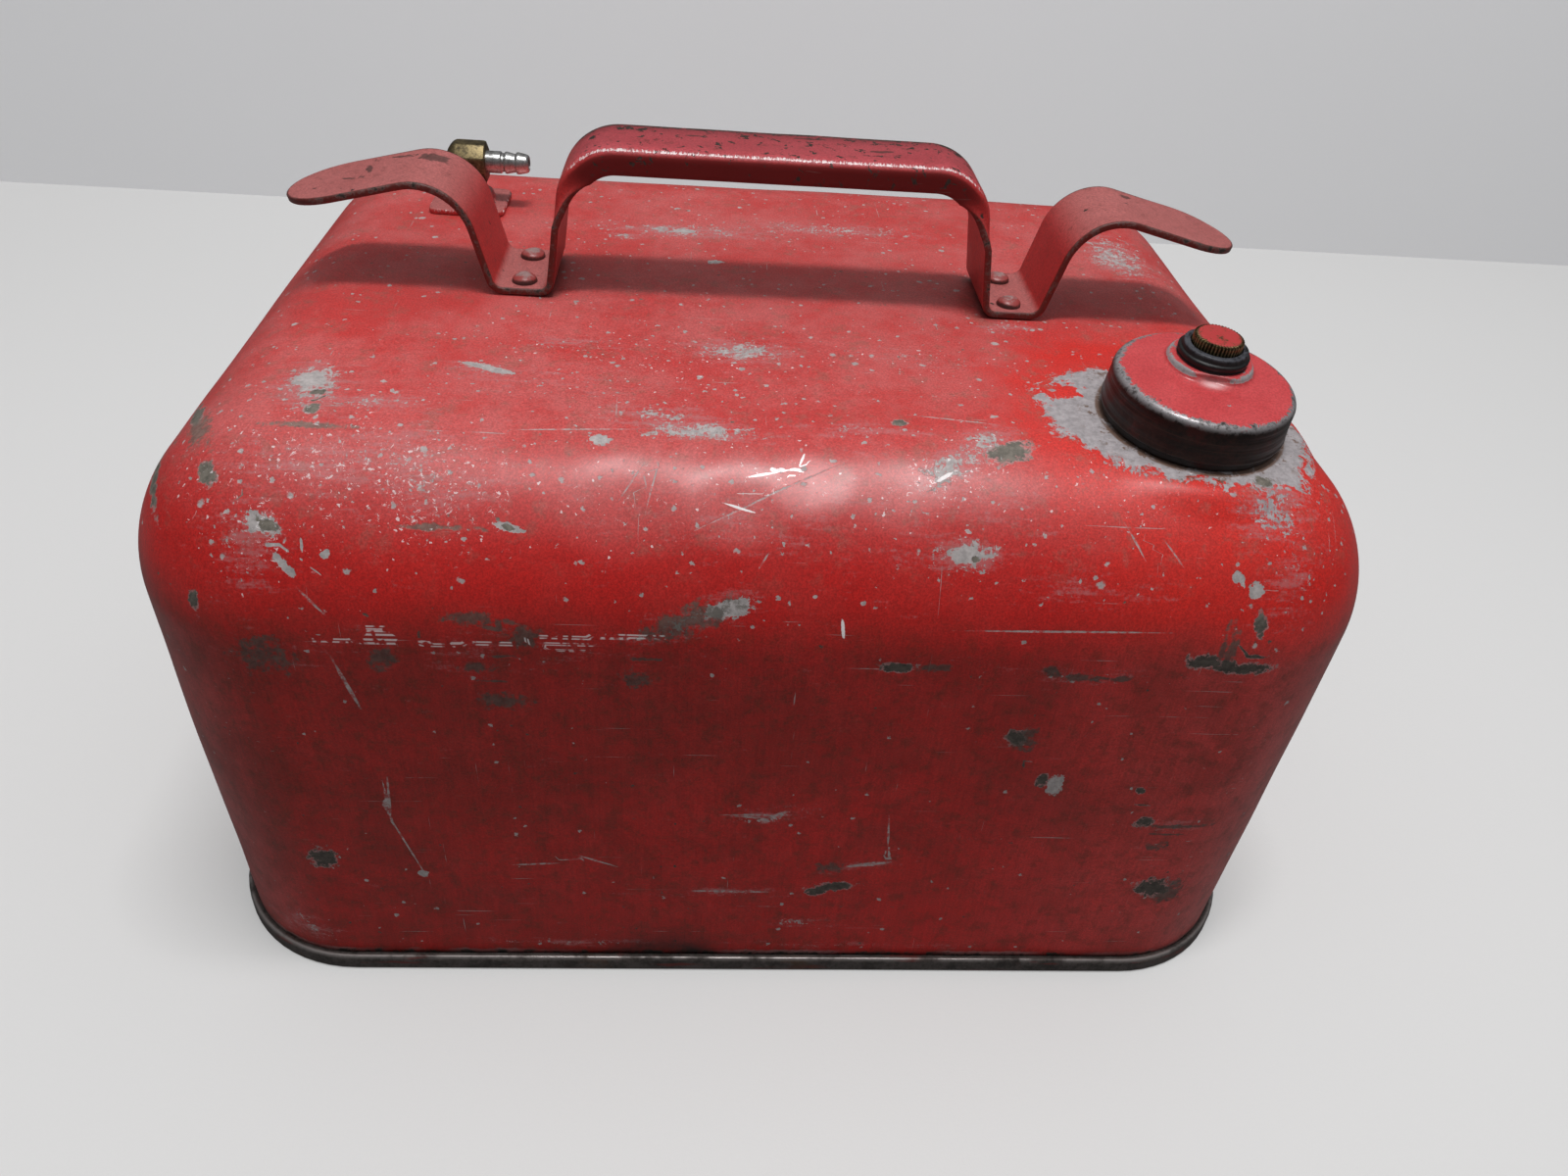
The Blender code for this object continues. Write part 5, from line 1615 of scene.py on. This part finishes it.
def make_elbow():
    """A cast elbow: a faceted barrel lying along X with a rounded back end, and a round stem under it."""
    low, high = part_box("outlet_elbow")
    radius = 0.0083
    back, front = low.x - OUTLET_AT.x, high.x - OUTLET_AT.x
    lying = Matrix.Translation((OUTLET_AT.x, OUTLET_AT.y, BARREL_Z)) @ Matrix.Rotation(math.pi / 2, 4, "Y")
    turns = np.linspace(0, math.pi / 2, 10)
    rounded = [(radius * math.cos(turn), back + 0.005 * (1 - math.sin(turn))) for turn in turns]
    barrel = [(0.0, front), (radius - 0.0010, front)]
    barrel += [(radius - 0.0003, front - 0.0003), (radius - 0.00005, front - 0.0012)]
    stem = [
        (0.0, BARREL_Z), (0.0073, BARREL_Z), (0.0073, 0.2275), (0.0070, 0.2269), (0.0055, 0.2268),
        (0.0055, 0.2158), (0.0, 0.2158),
    ]
    flat = math.radians(22.5)

    def faceted(r, angle, z):
        away = (angle + flat) % (2 * flat) - flat
        return r * (0.25 + 0.75 * math.cos(flat) / math.cos(away)), z

    ends = barrel + rounded[:-1] + [(0.0, back)]
    elbow = turned("elbow", ends, 96, lying, "tank", ("outlet_elbow",), faceted)
    foot = turned("elbow_foot", stem, 48, Matrix.Translation(OUTLET_AT), "tank", ("outlet_elbow",))
    for item in (elbow, foot):
        finish_piece(item, bpy.data.materials.get("fitting_brass") or fitting_brass())


def make_nipple():
    """A two-barb hose nipple lying along +X."""
    root, tip = NIPPLE_LOW.x - OUTLET_AT.x, NIPPLE_HIGH.x - OUTLET_AT.x
    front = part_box("outlet_elbow")[1].x - OUTLET_AT.x
    length = tip - front
    lying = Matrix.Translation((OUTLET_AT.x, OUTLET_AT.y, BARREL_Z)) @ Matrix.Rotation(math.pi / 2, 4, "Y")
    profile = softened(
        [
            (0.0024, tip, 0.0001), (0.0031, tip, 0.0003), (0.0037, tip - 0.0008, 0.0006),
            (0.0044, tip - length * 0.25, 0.0002), (0.0043, tip - length * 0.29, 0.0002),
            (0.0036, tip - length * 0.31, 0.0003), (0.0037, tip - length * 0.35, 0.0006),
            (0.0044, tip - length * 0.52, 0.0002), (0.0043, tip - length * 0.56, 0.0002),
            (0.0037, tip - length * 0.58, 0.0003), (0.0038, tip - length * 0.64, 0.0003),
            (0.0044, tip - length * 0.66, 0.0003), (0.0044, front + 0.0012, 0.0003),
            (0.0044, front - 0.0002, 0.0003), (0.0044, root, 0.0), (0.0024, root, 0.0),
        ]
    )
    nipple = turned("nipple", profile, 64, lying, "tank", ("hose_nipple",))
    finish_piece(nipple, bright_plate())


# ---------------------------------------------------------------- the frame's own small parts


def dress_frame_parts():
    """The parts that keep their plain shape get finished materials."""
    finishes = {
        "backing_plate_left": bpy.data.materials["worn_steel"],
        "backing_plate_right": bpy.data.materials["worn_steel"],
        "vent_collar_nut": bpy.data.materials["worn_steel"],
        "pickup_tube": bpy.data.materials["bright_plate"],
        "vent_clip": bpy.data.materials["bright_plate"],
        "cap_gasket": cork(),
        "vent_seal": seal_rubber(),
        "pickup_screen": screen_brass(),
    }
    for node, finish in finishes.items():
        for slot in frame["nodes"][node].material_slots:
            slot.material = finish


# ---------------------------------------------------------------- table, light and camera


def stage_material(name, colour, seen, bounce, mirrored, glow, lit):
    """A plain pale surface that throws back less light than it shows."""
    g = Graph(name)
    tone = g.blend(g.noise(1.6, 3.0), [c * 0.965 for c in colour], colour)
    grain = g.noise(900.0, 3.0, 0.7)
    tone = g.blend(g.ramp(grain, 0.60, 0.75, 0.0, 0.25), tone, [c * 0.88 for c in colour])
    path = g.outputs("ShaderNodeLightPath")
    tone = g.blend(path["Is Diffuse Ray"], tone, [c * bounce for c in colour])
    tone = g.blend(path["Is Glossy Ray"], tone, [c * mirrored for c in colour])
    strength = path["Is Camera Ray"] * glow + path["Is Diffuse Ray"] * lit
    matt = g.shade(tone, g.level(path["Is Camera Ray"], 1.0, seen))
    return g.finish(matt, 0.55, 0.0, g.bump(grain, 0.0002, 0.3), glow=(tone, strength))


def make_stage():
    """A pale table, and a pale backdrop behind it."""
    side, near, far, top = STAGE_HALF, STAGE_NEAR, WALL_Y, WALL_TOP
    table = ((-side, near, 0.0), (side, near, 0.0), (side, far, 0.0), (-side, far, 0.0))
    wall = ((-side, far, -0.3), (side, far, -0.3), (side, far, top), (-side, far, top))
    for name, corners, colour, seen, glow, lit in (
        ("table", table, (0.77, 0.765, 0.76), 0.63, 0.30, 0.0),
        ("backdrop", wall, (0.67, 0.67, 0.68), 0.90, 0.34, 1.80),
    ):
        mesh = bpy.data.meshes.new(name)
        mesh.from_pydata(corners, [], [(0, 1, 2, 3)])
        item = bpy.data.objects.new(name, mesh)
        bpy.context.scene.collection.objects.link(item)
        item.data.materials.append(stage_material(f"{name}_paint", colour, seen, 0.43, 0.22, glow, lit))


def make_light():
    """A short tube lying along the length, overhead and a little forward, in a room lighter overhead."""
    lamp = bpy.data.lights.new("tube", "AREA")
    lamp.shape = "RECTANGLE"
    lamp.size, lamp.size_y = LAMP_SIZE
    lamp.energy = LAMP_POWER
    item = bpy.data.objects.new("tube", lamp)
    item.location = LAMP_AT
    item.rotation_euler = (LAMP_AIM - LAMP_AT).to_track_quat("-Z", "Y").to_euler()
    bpy.context.scene.collection.objects.link(item)
    world = bpy.data.worlds.new("room")
    bpy.context.scene.world = world
    world.use_nodes = True
    tree = world.node_tree
    tree.nodes.clear()
    where = tree.nodes.new("ShaderNodeTexCoord")
    split = tree.nodes.new("ShaderNodeSeparateXYZ")
    fade = tree.nodes.new("ShaderNodeMapRange")
    for key, value in (("From Min", 0.15), ("From Max", 1.0), ("To Min", 0.13), ("To Max", 0.85)):
        fade.inputs[key].default_value = value
    path = tree.nodes.new("ShaderNodeLightPath")
    mirrored = tree.nodes.new("ShaderNodeMix")
    mirrored.inputs["B"].default_value = 0.08
    back = tree.nodes.new("ShaderNodeBackground")
    back.inputs["Color"].default_value = (0.97, 0.985, 1.0, 1.0)
    out = tree.nodes.new("ShaderNodeOutputWorld")
    tree.links.new(where.outputs["Generated"], split.inputs["Vector"])
    tree.links.new(split.outputs["Z"], fade.inputs["Value"])
    tree.links.new(path.outputs["Is Glossy Ray"], mirrored.inputs["Factor"])
    tree.links.new(fade.outputs["Result"], mirrored.inputs["A"])
    tree.links.new(mirrored.outputs["Result"], back.inputs["Strength"])
    tree.links.new(back.outputs["Background"], out.inputs["Surface"])


def make_camera():
    """The camera stands over the front edge and looks down, turned a little and tipped a little."""
    pitch, yaw, roll = CAMERA_PITCH, CAMERA_YAW, CAMERA_ROLL
    forward = Vector((math.sin(yaw) * math.cos(pitch), math.cos(yaw) * math.cos(pitch), -math.sin(pitch)))
    right = Vector((math.cos(yaw), -math.sin(yaw), 0.0))
    up = right.cross(forward)
    turned_right = right * math.cos(roll) + up * math.sin(roll)
    turned_up = up * math.cos(roll) - right * math.sin(roll)
    camera = bpy.data.cameras.new("camera")
    camera.sensor_width = SENSOR
    camera.lens = LENS
    item = bpy.data.objects.new("camera", camera)
    matrix = Matrix((turned_right, turned_up, -forward)).transposed().to_4x4()
    matrix.translation = CAMERA_AT
    item.matrix_world = matrix
    bpy.context.scene.collection.objects.link(item)
    bpy.context.scene.camera = item


make_shell()
make_seam()
make_pan_floor()
make_strap()
make_rivets()
make_neck()
make_cap()
make_collar()
make_vent_screw()
make_outlet()
make_elbow()
make_nipple()
dress_frame_parts()
make_stage()
make_light()
make_camera()
bpy.context.scene.view_settings.view_transform = "Standard"
